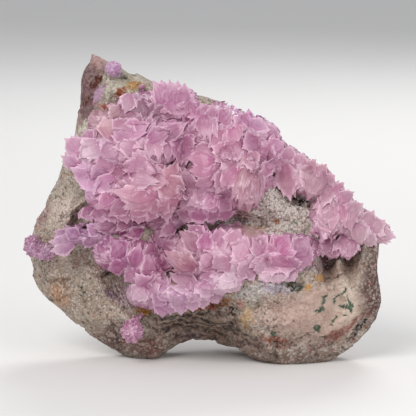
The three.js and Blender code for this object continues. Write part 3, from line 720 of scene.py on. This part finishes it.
def drape(growth, shape, rows, named, random):
    # lays one blade on the mounds for each row
    look = leafLook
    across, lengthwise, thick = shape["place"].T[:, None]
    root, tip = rows[:, 0:2], rows[:, 2:4]
    breadth, clear, raised, tilt, light = (rows[:, [column]] for column in (4, 5, 7, 8, 9))
    along = tip - root
    length = np.hypot(*along.T)[:, None]
    side = along[:, ::-1] * (1, -1) / length
    bow = random.uniform(-look["bow"], look["bow"], length.shape) * length
    skew = random.uniform(-look["skew"], look["skew"], length.shape) * (breadth / length)
    share = np.clip(lengthwise + skew * across * np.sin(math.pi * lengthwise), 0, 1)
    sideways = across * breadth + bow * share * (1 - share)
    flat = root[:, None] + along[:, None] * share[..., None] + side[:, None] * sideways[..., None]
    x, z = flat[..., 0], flat[..., 1]
    rootOut, tipOut = (skinDepth(*end.T, named)[:, None] for end in (root, tip))
    tipOut = np.maximum(tipOut, rootOut - look["steepest"] * length)
    chord = rootOut + (tipOut - rootOut) * share
    draped = chord + np.clip(skinDepth(x, z, named) - chord, -look["deepest"], look["drapeLimit"] * length)
    rise = look["clear"] * clear * share**1.5 - look["rootSink"] * (1 - share) ** 2
    rise += raised + tilt * across * breadth
    lens = thick * breadth * look["thickness"]
    step = 1.2
    slopeX = skinDepth(x + step, z, named) - skinDepth(x - step, z, named)
    slopeZ = skinDepth(x, z + step, named) - skinDepth(x, z - step, named)
    normal = unit(np.stack([-slopeX / step / 2, np.full(x.shape, -1.0), -slopeZ / step / 2], axis=-1))
    places = np.stack([x, layout["shiftY"] - draped, z], axis=-1)
    places += normal * (rise + lens)[..., None]
    tints = np.clip(pinkAt(places.mean(axis=1)) * np.clip(light, 0.7, 1.3), 0.01, 0.95)
    growth.addBlades(shape, places, tints, length, breadth, random)


def covered(points, rows):
    # whether points, in millimetres, lie under a large leaf as seen from the front
    under = np.zeros(len(points), bool)
    for rootX, rootZ, tipX, tipZ, breadth, _, isKite, *_ in rows:
        if isKite:
            continue
        along = np.array([tipX - rootX, tipZ - rootZ])
        length = np.hypot(*along)
        offset = points[:, [0, 2]] - np.array([rootX, rootZ])
        share = offset @ along / length**2
        aside = np.abs(offset[:, 0] * along[1] - offset[:, 1] * along[0]) / length
        under |= (share > 0.12) & (share < 0.9) & (aside < breadth * 0.45)
    return under


def selectAlone(piece):
    bpy.ops.object.select_all(action="DESELECT")
    piece.select_set(True)
    bpy.context.view_layer.objects.active = piece


def copyOfNode(node, name):
    # a CAD node's mesh with its triangles joined up
    copy = bpy.data.objects.new(name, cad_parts[node].data.copy())
    bpy.context.scene.collection.objects.link(copy)
    copy.data.materials.clear()
    selectAlone(copy)
    bpy.ops.object.mode_set(mode="EDIT")
    bpy.ops.mesh.select_all(action="SELECT")
    bpy.ops.mesh.remove_doubles(threshold=1e-6)
    bpy.ops.object.mode_set(mode="OBJECT")
    return copy


def softened(node, name, look):
    # a copy of a CAD node in small even faces, its edges rounded off
    piece = copyOfNode(node, name)
    remesh = piece.modifiers.new("remesh", "REMESH")
    remesh.mode = "VOXEL"
    remesh.voxel_size = look["voxel"]
    bpy.ops.object.modifier_apply(modifier=remesh.name)
    dropStrays(piece)
    smooth = piece.modifiers.new("smooth", "SMOOTH")
    smooth.factor = 0.5
    smooth.iterations = look["smoothing"]
    bpy.ops.object.modifier_apply(modifier=smooth.name)
    return piece


def dropStrays(piece):
    # the loose specks that a remesh leaves beside thin tips
    fewest = 100
    mesh = bmesh.new()
    mesh.from_mesh(piece.data)
    seen = set()
    strays = []
    for first in mesh.verts:
        if first in seen:
            continue
        seen.add(first)
        part = [first]
        for vertex in part:  # the list grows as it is walked
            for edge in vertex.link_edges:
                other = edge.other_vert(vertex)
                if other not in seen:
                    seen.add(other)
                    part.append(other)
        if len(part) < fewest:
            strays += part
    bmesh.ops.delete(mesh, geom=strays, context="VERTS")
    mesh.to_mesh(piece.data)
    mesh.free()


def vertexPlaces(mesh):
    co = np.zeros(len(mesh.vertices) * 3, np.float32)
    mesh.vertices.foreach_get("co", co)
    return co.reshape(-1, 3).astype(float) / mm


def vertexNormals(mesh):
    normal = np.zeros(len(mesh.vertices) * 3, np.float32)
    mesh.vertex_normals.foreach_get("vector", normal)
    return normal.reshape(-1, 3).astype(float)


def movePlaces(mesh, places):
    mesh.vertices.foreach_set("co", (places * mm).astype(np.float32).ravel())
    mesh.update()


bodyLook = {
    "voxel": 0.00052,
    "smoothing": 16,
    "skinGap": 0.7,  # millimetres from the mounds' surface down to the body
    "pull": (-2.5, 1.5),  # how far the front may be drawn to it
    "wander": 1.6,
    "wanderSize": 4.5,
    "ripple": 0.12,
    "rippleSize": 1.4,
    "lines": 0.2,
    "rise": 0.3,
    "rimFall": 1.3,
    "scaleBreadth": 4.4,
    "scaleLength": 7.5,
    "scaleRise": 0.28,
    "toothSpacing": 1.5,
    "outermost": 1.05,  # of a mound's radii, past which tips are drawn back
}


def clusterBody(node, named, size):
    # the CAD crust, softened, drawn to the rounded surface of its mounds and scaled over
    look = bodyLook
    body = softened(node, node + "_body", look)
    places, normals = vertexPlaces(body.data), vertexNormals(body.data)
    skin = layout["shiftY"] - skinDepth(places[:, 0], places[:, 2], named) + look["skinGap"]
    facing = np.clip((-normals[:, 1] - 0.3) / 0.4, 0, 1)
    places[:, 1] += facing * np.clip(skin - places[:, 1], *look["pull"])
    which, reach = nearestCluster(places, named)
    ray = places[:, [0, 2]] - springPoints(named)[which]
    wander = np.array([noise.noise_vector(Vector(p) / look["wanderSize"])[:] for p in places])
    angle = np.arctan2(ray[:, 1], ray[:, 0]) * 7 + wander[:, 0] * look["wander"]
    distance = np.hypot(ray[:, 0], ray[:, 1]) + wander[:, 1] * look["wander"]
    # pointed scales that overlap outwards, each lane of them out of step with the next
    across = angle / (look["scaleBreadth"] * size)
    lane = np.floor(across)
    aside = across - lane - 0.5
    phase = np.modf(np.abs(np.sin(lane * 12.9898 + which * 78.233) * 43758.5453))[0]
    tooth = np.abs(np.mod(angle / look["toothSpacing"] / size, 1) * 2 - 1)
    share = np.mod(distance / (look["scaleLength"] * size) + phase + np.abs(aside) * 0.6 + tooth * 0.1, 1)
    scale = look["scaleRise"] * (share - 0.5 - 1.2 * aside**2)
    rim = np.clip((reach - 0.7) / 0.3, 0, 1) * np.clip((normals[:, 1] + 0.8) / 0.6, 0, 1)
    ripple = np.array([noise.noise(Vector(p) / look["rippleSize"]) for p in places])
    lines = np.array([noise.noise(Vector((a * 1.5, d * 0.25, 0))) for a, d in zip(angle, distance)])
    rise = look["rise"] - look["rimFall"] * rim + scale + look["ripple"] * ripple + look["lines"] * lines
    places += normals * (rise * size)[:, None]
    # tips that stand out past the mounds are drawn back, except in the patches
    outermost = look["outermost"]
    middle = np.array([mound[:2] for mound, _ in named.values()], float)[which]
    held = (np.minimum(reach, outermost) + 0.15 * np.maximum(reach - outermost, 0)) / np.maximum(reach, 0.1)
    held = np.where((reach > outermost) & (size == 1), held, 1)[:, None]
    places[:, [0, 2]] = middle + (places[:, [0, 2]] - middle) * held
    movePlaces(body.data, places)
    uv = np.stack([aside + 0.5, share], axis=1)
    return body, uv, np.stack([angle + which * 60, distance], axis=1)


def springPoints(named):
    # where each cluster's small crystals fan out from, halfway from its middle to its leaves' roots
    springs = []
    for mound, leaves in named.values():
        spring = np.array(mound[:2], float)
        if leaves:
            roots = np.array([leaf[:2] for leaf in leaves], float)
            spring = roots.mean(axis=0) * 0.5 + spring * 0.5
        springs.append(spring)
    return np.array(springs)


def nearestCluster(points, named):
    # the cluster each point belongs to, and how near its rim it is: 0 in the middle, 1 at the rim
    reaches = np.array([
        np.hypot((points[:, 0] - m[0]) / m[3], (points[:, 2] - m[1]) / m[5]) for m, _ in named.values()
    ])
    return np.argmin(reaches, axis=0), reaches.min(axis=0)


def scattered(candidates, places, spacing, taken, random):
    # a spread of candidates no nearer to each other, or to those taken, than the spacing
    cells = {}
    chosen = []

    def cellOf(point):
        return tuple((point // spacing).astype(int))

    def crowded(point, cell):
        for step in itertools.product((-1, 0, 1), repeat=3):
            for other in cells.get((cell[0] + step[0], cell[1] + step[1], cell[2] + step[2]), ()):
                gap = point - other
                if gap @ gap < spacing * spacing:
                    return True
        return False

    for point in taken:
        cells.setdefault(cellOf(point), []).append(point)
    for index in random.permutation(candidates):
        point = places[index]
        cell = cellOf(point)
        if not crowded(point, cell):
            cells.setdefault(cell, []).append(point)
            chosen.append(index)
    return np.array(chosen, int)


# Two sizes of small crystals. They start from "rim" outwards: 0 in a cluster's middle, 1 at its rim.
druseLook = [
    {"spacing": 2.6, "length": (2.2, 3.6), "breadth": (1.4, 2.2), "lean": (2, 12), "rim": 0.4},
    {"spacing": 1.9, "length": (1.3, 2.3), "breadth": (0.8, 1.3), "lean": (5, 22), "rim": 0.55},
]
patchLean = (32, 60)  # degrees, because the patches' crystals stand up from them


def clearOfRock(places, normals, rockTree):
    # whether there is room in front of each point for a crystal
    roomNeeded = 9
    clear = np.ones(len(places), bool)
    for i in np.nonzero(normals[:, 1] > -0.25)[0]:
        start = Vector((places[i] + normals[i] * 0.4) * mm)
        clear[i] = rockTree.ray_cast(start, Vector(normals[i]), roomNeeded * mm)[0] is None
    return clear


def growDruse(growth, body, named, rows, rockTree, random, sizes):
    places, normals = vertexPlaces(body.data), vertexNormals(body.data)
    springs = springPoints(named)
    hidden = covered(places, rows) & (normals[:, 1] < -0.35)
    darkened, _ = gapDarkAt(places)
    room = clearOfRock(places, normals, rockTree)
    usable = np.nonzero(room & (normals[:, 1] < 0.75) & (darkened < 0.35) & ~hidden)[0]
    which, reach = nearestCluster(places, named)
    outward, sideways = np.clip((reach - 0.55) / 0.45, 0, 1), np.clip((normals[:, 1] + 0.75) / 0.9, 0, 1)
    rim = np.clip(outward * 0.6 + sideways * 0.6, 0, 1)
    shape = bladeShapes["blade"]
    across, share, thick = shape["place"].T[:, None]
    for look in druseLook:
        candidates = usable[(rim[usable] >= look["rim"]) | (sizes < 1)]
        chosen = scattered(candidates, places, look["spacing"] * sizes, [], random)
        count = len(chosen)
        point, normal = places[chosen], unit(normals[chosen])
        away = onFront(point[:, [0, 2]] - springs[which[chosen]])
        away = unit(away) + random.normal(0, 0.18, (count, 3))
        away -= normal * np.sum(away * normal, axis=1, keepdims=True)
        away = unit(away)
        low, high = look["lean"] if sizes == 1 else patchLean
        lean = np.radians(low + (high - low) * rim[chosen] * random.uniform(0.4, 1, count))[:, None]
        along = unit(away * np.cos(lean) + normal * np.sin(lean))
        side = unit(np.cross(along, normal))
        roll = random.normal(0, 0.25, count)[:, None]
        up = np.cross(side, along)
        side, up = (
            unit(side * np.cos(roll) + up * np.sin(roll)),
            unit(up * np.cos(roll) - side * np.sin(roll)),
        )
        length = (random.uniform(*look["length"], count) * sizes * (1 - 0.5 * rim[chosen]))[:, None]
        breadth = (random.uniform(*look["breadth"], count) * sizes)[:, None]
        bow = random.uniform(-0.25, 0.25, count)[:, None] * length
        droop = random.uniform(0.4, 1.0, count)[:, None] * length**2 / 24
        shift = across * breadth + bow * share * (1 - share)
        lift = thick * breadth * random.uniform(0.3, 0.45, count)[:, None] - droop * share**2
        root = point - along * (length * 0.25) - normal * (breadth * 0.1)
        blades = root[:, None] + along[:, None] * (share * length)[..., None]
        blades = blades + side[:, None] * shift[..., None] + up[:, None] * lift[..., None]
        tint = pinkAt(blades.mean(axis=1)) * pinkLook["druseDeepening"]
        tint = varied(tint, random, pinkLook["bladeSpread"])
        growth.addBlades(shape, blades, tint, length, breadth, random)
        print(f"{body.name}: {count} small crystals {look['spacing']} mm apart")


def bodyTints(places):
    tint = pinkAt(places) * pinkLook["bodyDeepening"]
    # the deepest gaps take their rust stains and painted shade
    amount, colour = gapDarkAt(places)
    return tint + (colour - tint) * amount[:, None]


calciteLook = {
    "deep": (0.84, 0.58, 0.76),  # what the tint is multiplied by at a blade's root: the crystals' deeper pink there, and painted shade in the gaps between the leaves
    # pale milky calcite, also laid on the margins as a painted highlight
    "milkAndHighlightTint": (238, 206, 222),
    "paintedGlow": 0.17,  # painted glow that lifts the shade between the leaves to pink, standing in for light passing through the thin crystals
}


def calciteFinish():
    f = Finish("calcite")
    deep = calciteLook["deep"]
    place = f.inMillimetres()
    tint = f.node("ShaderNodeAttribute", {"attribute_name": "tint"})
    across, along, _ = f.parts(f.node("ShaderNodeUVMap", {"uv_map": "blade"}))
    edge = f.maths("ABSOLUTE", across - 0.5) * 2
    # fine striations from root to tip
    streak = f.node("ShaderNodeUVMap", {"uv_map": "streak"})
    drawnOut = f.node("ShaderNodeMapping", None, {"Vector": streak, "Scale": (2.0, 0.22, 1)})
    lines = f.grain(drawnOut, 1.0, 3.0, 0.6)
    clouds = f.grain(place, 0.22, 3.0, 0.55)
    flecks = f.grain(place, 1.3, 3.0, 0.6)
    # milky at the margins and the tip: partly the calcite's own milky edges, partly a painted highlight where
    # light catches the margins
    milkAndHighlight = f.maths("ADD", f.mask(edge, 0.62, 1.0) * 0.68, f.mask(along, 0.5, 1.0) * 0.5)
    milkAndHighlight = milkAndHighlight + f.mask(lines, 0.44, 0.66) * 0.22
    milkAndHighlight = milkAndHighlight + f.mask(clouds, 0.48, 0.72) * 0.22
    milkAndHighlight = f.maths("MULTIPLY", milkAndHighlight, 0.5 + 0.5 * f.mask(flecks, 0.2, 0.62), True)
    # deeper towards each blade's root: partly its own deeper pink, partly painted shade where the roots lie
    # between the leaves
    root = f.blend(f.mask(along, 0.5, 0.05) * 0.85, tint, f.blend(1.0, tint, deep, "MULTIPLY"))
    rooted = f.blend(f.mask(clouds, 0.5, 0.25) * 0.5, root, f.blend(1.0, root, deep, "MULTIPLY"))
    colour = f.blend(milkAndHighlight * 0.75, rooted, linear(*calciteLook["milkAndHighlightTint"]))
    bumped = f.bump(lines * 0.6 + flecks * 0.25, 0.25, 0.0005)
    # the emission is a painted glow in the crystals' deepened colour, not a lamp
    return f.set(
        Base_Color=colour, Roughness=0.3 + 0.25 * flecks, Normal=bumped,
        Emission_Color=rooted, Emission_Strength=calciteLook["paintedGlow"], IOR=1.55,
    )


# Stains, painted shade and bare faces as seen from the front: x, z, radius x, z, turn, colour, softness of
# the edge, and the kind of surface where it isn't granular as elsewhere.
rockSpots = [
    (-38.4, 86, 5, 13, -12, (114, 82, 86), 0.35, "smooth"),  # the spire's left face
    (-34.6, 96, 3, 3.4, 0, (184, 150, 146), 0.5),
    (-27.2, 87.7, 7, 4.5, -15, (208, 203, 180), 0.3),  # pale and granular, right of the spire
    (-23.4, 87.4, 3, 1.5, 0, (214, 166, 92), 0.3),
    (-27.8, 85.4, 1.9, 1.4, 20, (160, 86, 46), 0.3),
    (-29.8, 92.2, 3.4, 1.8, -35, (202, 164, 204), 0.4),
    (-34.6, 84.8, 1.1, 4, -28, (184, 150, 174), 0.4),
    (-35.8, 88.8, 3.1, 1.3, 52, (78, 28, 20), 0.2),  # rust streaks
    (-38.6, 82.8, 2.9, 1.2, 50, (80, 30, 22), 0.2),
    (-33, 78.7, 2.6, 3.2, 0, (202, 162, 160), 0.4),
    (-33.9, 80.8, 2.2, 0.6, -28, (180, 100, 78), 0.3),
    (-37.8, 74.8, 5.2, 2, 38, (224, 224, 206), 0.25),  # the cream band
    (-40.6, 47.7, 1.4, 1.5, 0, (200, 150, 58), 0.3),
    (-53.8, 45.8, 3, 5, -30, (176, 142, 140), 0.5),
    (-38.5, 31, 3, 4.5, 15, (212, 188, 200), 0.6),  # pale lilac crusts beside the crystals
    (-25.8, 20.4, 5.2, 4, -35, (208, 186, 196), 0.6),
    (-30, 6, 5, 4, -30, (104, 80, 76), 0.6),  # dark towards the left foot: painted shade near the floor
    (-42, 25, 13, 13, 0, (180, 164, 148), 0.6),  # the left flank
    (-45, 47, 5.5, 5.5, 0, (222, 206, 192), 0.4),
    # a painted shadow on the left flank
    (-48.3, 24, 4.2, 1.4, 0, (112, 98, 84), 0.5),
    (-47.4, 20, 3, 4.5, 10, (192, 150, 116), 0.6),
    (-50.9, 18.2, 1.3, 0.9, -20, (62, 80, 60), 0.3),
    (-40.5, 20.8, 0.5, 1.7, 10, (64, 74, 48), 0.4),
    (-30.6, 19.8, 2.8, 1.1, -25, (136, 108, 124), 0.4),
    (-34.6, 9.9, 2.8, 1.6, -40, (156, 142, 128), 0.2, "smooth"),
    (-3.4, 9.5, 15.5, 5.8, 0, (102, 88, 76), 0.35, "layered"),  # the arch between the feet, its dark brown-grey in these two spots partly painted shade under the arch
    (10.2, 4.6, 8.5, 3.4, -12, (122, 108, 96), 0.3, "layered"),
    (-20.8, 15.3, 2.7, 1.9, 0, (206, 152, 66), 0.3),
    (-18.9, 3.2, 4.4, 2.8, 0, (150, 104, 94), 0.5),
    (-5.8, 6.6, 3.6, 1.6, 8, (88, 76, 90), 0.4),
    (-0.6, 16.4, 5.2, 1.6, 8, (160, 78, 58), 0.3),  # rust under the crystals
    (5, 17.6, 3.2, 1.4, 10, (186, 132, 84), 0.3),
    # painted shade in a hollow under the crust's lower edge
    (7.5, 14.6, 2.2, 1.6, 20, (70, 52, 40), 0.4),
    (10.4, 17, 1.6, 1.6, 0, (172, 118, 104), 0.4),
    (15.5, 21, 6.4, 2.6, 12, (204, 200, 194), 0.35),
    (22, 22.4, 5.6, 2.2, -8, (192, 182, 194), 0.35),
    (12.4, 12.3, 2.2, 3.2, -10, (202, 168, 120), 0.5),
    (18.2, 9.6, 0.9, 2.5, -20, (226, 216, 206), 0.5),
    (37, 14.5, 14, 9.5, 12, (198, 172, 158), 0.25, "smooth"),  # the broad fracture face
    (24, 14, 8, 6, 0, (196, 168, 156), 0.5),
    (34.5, 30.5, 6, 3, 0, (170, 142, 146), 0.4),
    (41.6, 27.2, 7, 3, 18, (164, 142, 126), 0.3, "smooth"),
    (46, 18, 6, 8, 0, (222, 204, 186), 0.6),
    (53.5, 21.8, 5, 14, 0, (112, 84, 78), 0.6),
    (42.2, 7.6, 10, 1.1, 35, (142, 84, 72), 0.7),
    (48.4, 9.4, 5.4, 0.8, 47, (40, 32, 30), 0.25),
    (21.8, 5.1, 4.8, 1.9, -8, (146, 78, 56), 0.4),
    (27.7, 23.3, 3.9, 1.6, -25, (58, 72, 54), 0.2),  # green copper stains
    (32, 22.2, 0.9, 1.3, 0, (208, 160, 92), 0.3),
    (35.7, 25.3, 1.1, 1.6, 10, (204, 158, 98), 0.3),
    (37.4, 18.6, 2.4, 1.1, 62, (68, 92, 70), 0.3),
    (36, 15.4, 1.5, 0.7, 20, (72, 96, 76), 0.4),
    (42.2, 19.8, 2.4, 0.5, 44, (74, 96, 76), 0.3),
    (44, 21.6, 0.6, 1.2, -10, (70, 92, 72), 0.3),
    (40.4, 17.6, 0.5, 1.1, 20, (76, 98, 78), 0.3),
    (45.6, 16.8, 0.7, 2.3, 8, (70, 92, 72), 0.3),
    (43.9, 16, 1.6, 0.55, -20, (78, 100, 80), 0.3),
    (43.8, 13.2, 1.0, 0.6, 0, (74, 96, 74), 0.3),
    (40.2, 12.2, 0.9, 0.6, 30, (78, 102, 78), 0.4),
    (39.6, 10.4, 0.4, 0.9, 0, (74, 98, 74), 0.4),
    (37.1, 5.9, 1, 0.5, 0, (62, 84, 64), 0.2),
    (35.2, 9, 1.2, 1.2, 0, (62, 84, 64), 0.2),
    (21, 7.7, 0.7, 1.3, 0, (66, 96, 74), 0.2),
    (31.2, 6.5, 3.8, 0.28, 23, (84, 62, 54), 0.3),  # cracks
    (41, 26, 5.6, 0.28, 20, (96, 76, 66), 0.3),
    (17.3, 47.4, 19, 9, 0, (246, 238, 230), 0.25, "coarse"),  # the granular ledge
    (11.5, 46.5, 2.5, 2, 0, (196, 160, 158), 0.6),
    (29.6, 51.3, 3.4, 2, -48, (26, 22, 20), 0.2),
    (32.8, 48.2, 3.6, 1.3, -42, (66, 56, 50), 0.3),
    (14.4, 41.4, 4.2, 1.8, 10, (236, 206, 184), 0.3),
    (22, 43.7, 0.9, 0.9, 0, (212, 142, 96), 0.3),
    (28.5, 43.5, 1.1, 1.1, 0, (124, 146, 130), 0.4),
    (1.6, 46.4, 1.4, 1.2, 30, (60, 72, 62), 0.4),
]

rockLook = {
    "voxel": 0.00064,
    "smoothing": 3,
    "planes": ((0.42, 13, 3), (0.4, 5, 9)),  # height, breadth and shift of each set of flat breaks
    "lumps": 0.55,
    "lumpSize": 6,
    "smallLumps": 0.3,
    "smallLumpSize": 1.5,
    "pitDepth": 1.3,
    "pitSize": 3.1,
    "pitStart": 0.36,
    "footGuard": 2.2,  # millimetres above the floor that keep their shape
    "spireTop": 91,
    "spireBroadening": 1.7,  # millimetres to the left
    "even": ((182, 172, 156), (202, 186, 168)),  # the two colours it is mostly made of
    "rosy": (190, 150, 142),
    "drab": (146, 142, 124),
    "shaded": (126, 104, 92),
    "light": (216, 208, 196),
    "foldLight": (164, 142, 124),
    "foldDark": (50, 36, 32),
    # the reddish brown of the painted shade towards the foot
    "foot": (108, 82, 74),
    "paleGrain": (236, 226, 214),
    "darkGrain": (100, 86, 76),
    "speck": (84, 74, 64),
    "blackGrain": (56, 50, 44),
    "rustyGrain": (168, 98, 72),
    "cast": (0.88, 0.85, 0.86),
}


def rockFinish():
    f = Finish("pale carbonate rock")
    place = f.inMillimetres()
    # the front seen from a little above: x and z drawn out by nearness
    x, y, z = f.parts(place)
    height = layout["sightHeight"]
    nearness = 1 - y / layout["sightDistance"]
    seenX = x * nearness
    seenZ = (z - height) * nearness + height + y * layout["sightSlope"]
    wander = f.vector("SUBTRACT", f.grain(place, 0.35, 3.0, 0.6, output=1), (0.5, 0.5, 0.5))
    wobble = f.node("ShaderNodeVectorMath", {"operation": "SCALE"}, {0: wander, "Scale": 5.0})
    seen = f.vector("ADD", f.node("ShaderNodeCombineXYZ", None, {0: seenX, 1: y, 2: seenZ}), wobble)

    large = f.grain(place, 0.07, 3.0, 0.55)
    middle = f.grain(place, 0.4, 4.0, 0.6)
    fine = f.grain(place, 1.8, 3.0, 0.7)
    patches = f.grain(f.vector("ADD", place, (31, 7, 53)), 0.13, 3.0, 0.6)
    grains = f.cells(place, 1.25)
    toneA, toneB, toneC = f.parts(f.cells(place, 1.25, output=1), "ShaderNodeSeparateColor")

    def over(amount, under, name):
        return f.blend(amount, under, linear(*rockLook[name]))

    colour = f.blend(f.mask(large, 0.38, 0.62), *(linear(*shade) for shade in rockLook["even"]))
    colour = over(f.mask(patches, 0.55, 0.7) * 0.45, colour, "rosy")
    colour = over(f.mask(patches, 0.45, 0.3) * 0.45, colour, "drab")
    colour = over(f.mask(middle, 0.5, 0.7) * 0.7, colour, "shaded")
    colour = over(f.mask(middle, 0.46, 0.3) * 0.5, colour, "light")
    masks = {"smooth": 0.0, "layered": 0.0, "coarse": 0.0}
    for spotX, spotZ, radiusX, radiusZ, turn, shade, edge, *kinds in rockSpots:
        local = f.node("ShaderNodeMapping", {"vector_type": "TEXTURE"}, {
            "Vector": seen, "Location": (spotX, -12, spotZ),
            "Rotation": (0, -math.radians(turn), 0), "Scale": (radiusX, 32, radiusZ),
        })
        inside = f.mask(f.vector("LENGTH", local, output=1), 1 + edge, 1 - edge)
        colour = f.blend(inside, colour, linear(*shade))
        for kind in kinds:
            masks[kind] = f.maths("MAXIMUM", inside, masks[kind])
    # folded layers in the arch
    fold = z * 2.2 + x * 0.3 + middle * 10 + f.grain(place, 0.12, 2.0) * 24
    layers = f.maths("SINE", fold) * masks["layered"]
    colour = over(f.mask(layers, 0.1, 0.9) * 0.75, colour, "foldLight")
    colour = over(f.mask(layers, -0.1, -0.8) * 0.85, colour, "foldDark")
    # darker and redder towards the foot: painted shade near the floor, in the rock's reddish brown
    colour = over(f.mask(z + middle * 10, 20, 6) * 0.65, colour, "foot")
    # a mosaic of pale and dark grains, fainter on the smooth faces
    rough = (1 - masks["smooth"] * 0.7) * (1 - masks["layered"] * 0.6)
    coarse = rough * f.maths("MAXIMUM", 0.35 + 0.4 * f.mask(patches, 0.35, 0.6), masks["coarse"])
    colour = over(f.mask(toneA, 0.4, 0.75) * coarse * 0.7, colour, "paleGrain")
    colour = over(f.mask(grains, 0.5, 0.8) * coarse * 0.6, colour, "darkGrain")
    colour = over(f.mask(fine, 0.45, 0.3) * rough * 0.65, colour, "speck")
    colour = over(f.mask(toneB, 0.93, 0.96) * rough * 0.6, colour, "blackGrain")
    colour = over(f.mask(toneC, 0.88, 0.94) * rough * 0.35, colour, "rustyGrain")
    colour = f.blend(1.0, colour, rockLook["cast"], "MULTIPLY")
    # the masks steer the strength, because whatever feeds the height is worked out three times over
    bumped = f.bump(fine * 0.5 + middle * 0.6 - grains * 0.7, 0.3 + 0.6 * rough, 0.001)
    return f.set(Base_Color=colour, Roughness=0.72 + 0.2 * fine, Normal=bumped, Specular_IOR_Level=0.35)


def fracturedPlane(point, size, shift):
    # flat breaks: each cell of a Voronoi pattern tilts its own way
    spot = Vector(point) / size + Vector((shift, 0, 0))
    _, cells = noise.voronoi(spot)
    tilt = noise.cell_vector(cells[0] * 7.31)
    return (spot - cells[0]).dot(tilt - Vector((0.5, 0.5, 0.5))) * size


def rockRelief(point):
    # how far the rock stands out or in at a point, in millimetres
    look = rockLook
    v = Vector(point)
    planes = sum(high * fracturedPlane(point, size, shift) for high, size, shift in look["planes"])
    lumps = look["lumps"] * noise.fractal(v / look["lumpSize"], 1.0, 2.1, 3)
    lumps += look["smallLumps"] * noise.noise(v / look["smallLumpSize"])
    pit = noise.noise(v / look["pitSize"] + Vector((9, 4, 2)))
    return planes + lumps - look["pitDepth"] * max(0.0, pit - look["pitStart"])


def modelRock():
    rock = softened("matrix_rock", "rock", rockLook)
    places, normals = vertexPlaces(rock.data), vertexNormals(rock.data)
    relief = np.array([rockRelief(point) for point in places])
    guard = np.clip(places[:, 2] / rockLook["footGuard"], 0, 1)
    guard = guard * guard * (3 - 2 * guard) * (0.35 + 0.65 * np.abs(normals[:, 1]))
    places += normals * (np.clip(relief - 0.1, -3, 0.8) * guard)[:, None]
    # the spire is blunt and a little broader to the left
    near = np.exp(-(((places[:, 2] - rockLook["spireTop"]) / 4.5) ** 2))
    places[:, 0] -= rockLook["spireBroadening"] * (near * np.clip((-33 - places[:, 0]) / 3, 0, 1))
    low, high = (np.array(corner) / mm for corner in cadBox)
    movePlaces(rock.data, np.clip(places, low + 0.01, high - 0.01))
    bpy.ops.object.shade_smooth()
    finishPiece(rock, "matrix_rock", rockFinish())
    return rock


def finishPiece(piece, node, material):
    piece.data.materials.append(material)
    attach(piece, "root")
    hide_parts(node)
    print(f"{piece.name}: {sum(len(p.vertices) - 2 for p in piece.data.polygons)} triangles")


def crystalPiece(node, named, rockTree, calcite, seed, sizes=1.0):
    # the crust is two pieces, its body and its crystals; a patch is one, of small crystals alone
    random = np.random.default_rng(seed)
    name = node.replace("calcite_", "crystals_")
    body, uv, streak = clusterBody(node, named, sizes)
    growth = Growth()
    rows = []
    places = vertexPlaces(body.data)
    growth.add(places, [list(p.vertices) for p in body.data.polygons], bodyTints(places), uv, streak)
    if sizes == 1:
        joinPiece(growth, name + "_body", node, calcite, 40)
        growth = Growth()
        rows = layLeaves(growth, named, random)
    growDruse(growth, body, named, rows, rockTree, random, sizes)
    bpy.data.objects.remove(body)
    joinPiece(growth, name, node, calcite, 13)


def joinPiece(growth, name, node, calcite, crease):
    piece = growth.join(name)
    selectAlone(piece)
    bpy.ops.object.shade_smooth_by_angle(angle=math.radians(crease))
    finishPiece(piece, node, calcite)


rock = modelRock()
rockTree = BVHTree.FromPolygons([v.co for v in rock.data.vertices], [p.vertices for p in rock.data.polygons])
calcite = calciteFinish()
crystalPiece("calcite_crust", clusters, rockTree, calcite, 11)
crystalPiece("calcite_patch_left", patchLeft, rockTree, calcite, 12, 0.6)
crystalPiece("calcite_patch_low", patchLow, rockTree, calcite, 13, 0.7)
crystalPiece("calcite_patch_spire", patchSpire, rockTree, calcite, 14, 0.5)


studio = {
    "floorSize": 8.0,
    "target": (0.0, 0.0009, 0.048),
    "distance": 0.9,
    "elevation": 8.0,
    "lens": 243.4,
    "sky": (0.9, 0.92, 0.95, 1),
    "skyStrength": 0.54,
    # place, size, power and colour
    "lights": {
        "key": ((-0.45, -0.75, 0.75), 0.7, 7.4, (1, 0.985, 0.965)),
        "fill": ((0.7, -0.6, 0.35), 0.6, 2.6, (0.97, 0.98, 1)),
        "back": ((0.2, 0.8, 0.7), 0.5, 3.6, (1, 1, 1)),
    },
}


def floorFinish():
    f = Finish("pale floor")
    tone = f.grain(f.node("ShaderNodeTexCoord", output=3), 3.0, 3.0)
    return f.set(Base_Color=f.blend(tone, linear(232, 230, 228), linear(238, 236, 234)), Roughness=0.75)


bpy.ops.object.select_all(action="DESELECT")
bpy.ops.mesh.primitive_plane_add(size=studio["floorSize"], location=(0, 0, 0))
floor = bpy.context.object
floor.name = "floor"
floor.data.materials.append(floorFinish())

world = bpy.data.worlds.new("studio")
world.use_nodes = True
sky = world.node_tree.nodes["Background"]
sky.inputs[0].default_value = studio["sky"]
sky.inputs[1].default_value = studio["skyStrength"]
scene = bpy.context.scene
scene.world = world

target = Vector(studio["target"])
for name, (place, size, power, colour) in studio["lights"].items():
    light = bpy.data.objects.new(name, bpy.data.lights.new(name, "AREA"))
    light.data.shape = "DISK"
    light.data.size = size
    light.data.energy = power
    light.data.color = colour
    light.location = place
    light.rotation_euler = (target - Vector(place)).to_track_quat("-Z", "Y").to_euler()
    scene.collection.objects.link(light)

tilt = math.radians(studio["elevation"])
camera = bpy.data.objects.new("camera", bpy.data.cameras.new("camera"))
camera.location = target + studio["distance"] * Vector((0, -math.cos(tilt), math.sin(tilt)))
camera.rotation_euler = (math.pi / 2 - tilt, 0, 0)
camera.data.lens = studio["lens"]
camera.data.clip_start = 0.01
scene.collection.objects.link(camera)
scene.camera = camera
scene.view_settings.view_transform = "Standard"

print("scene ready")
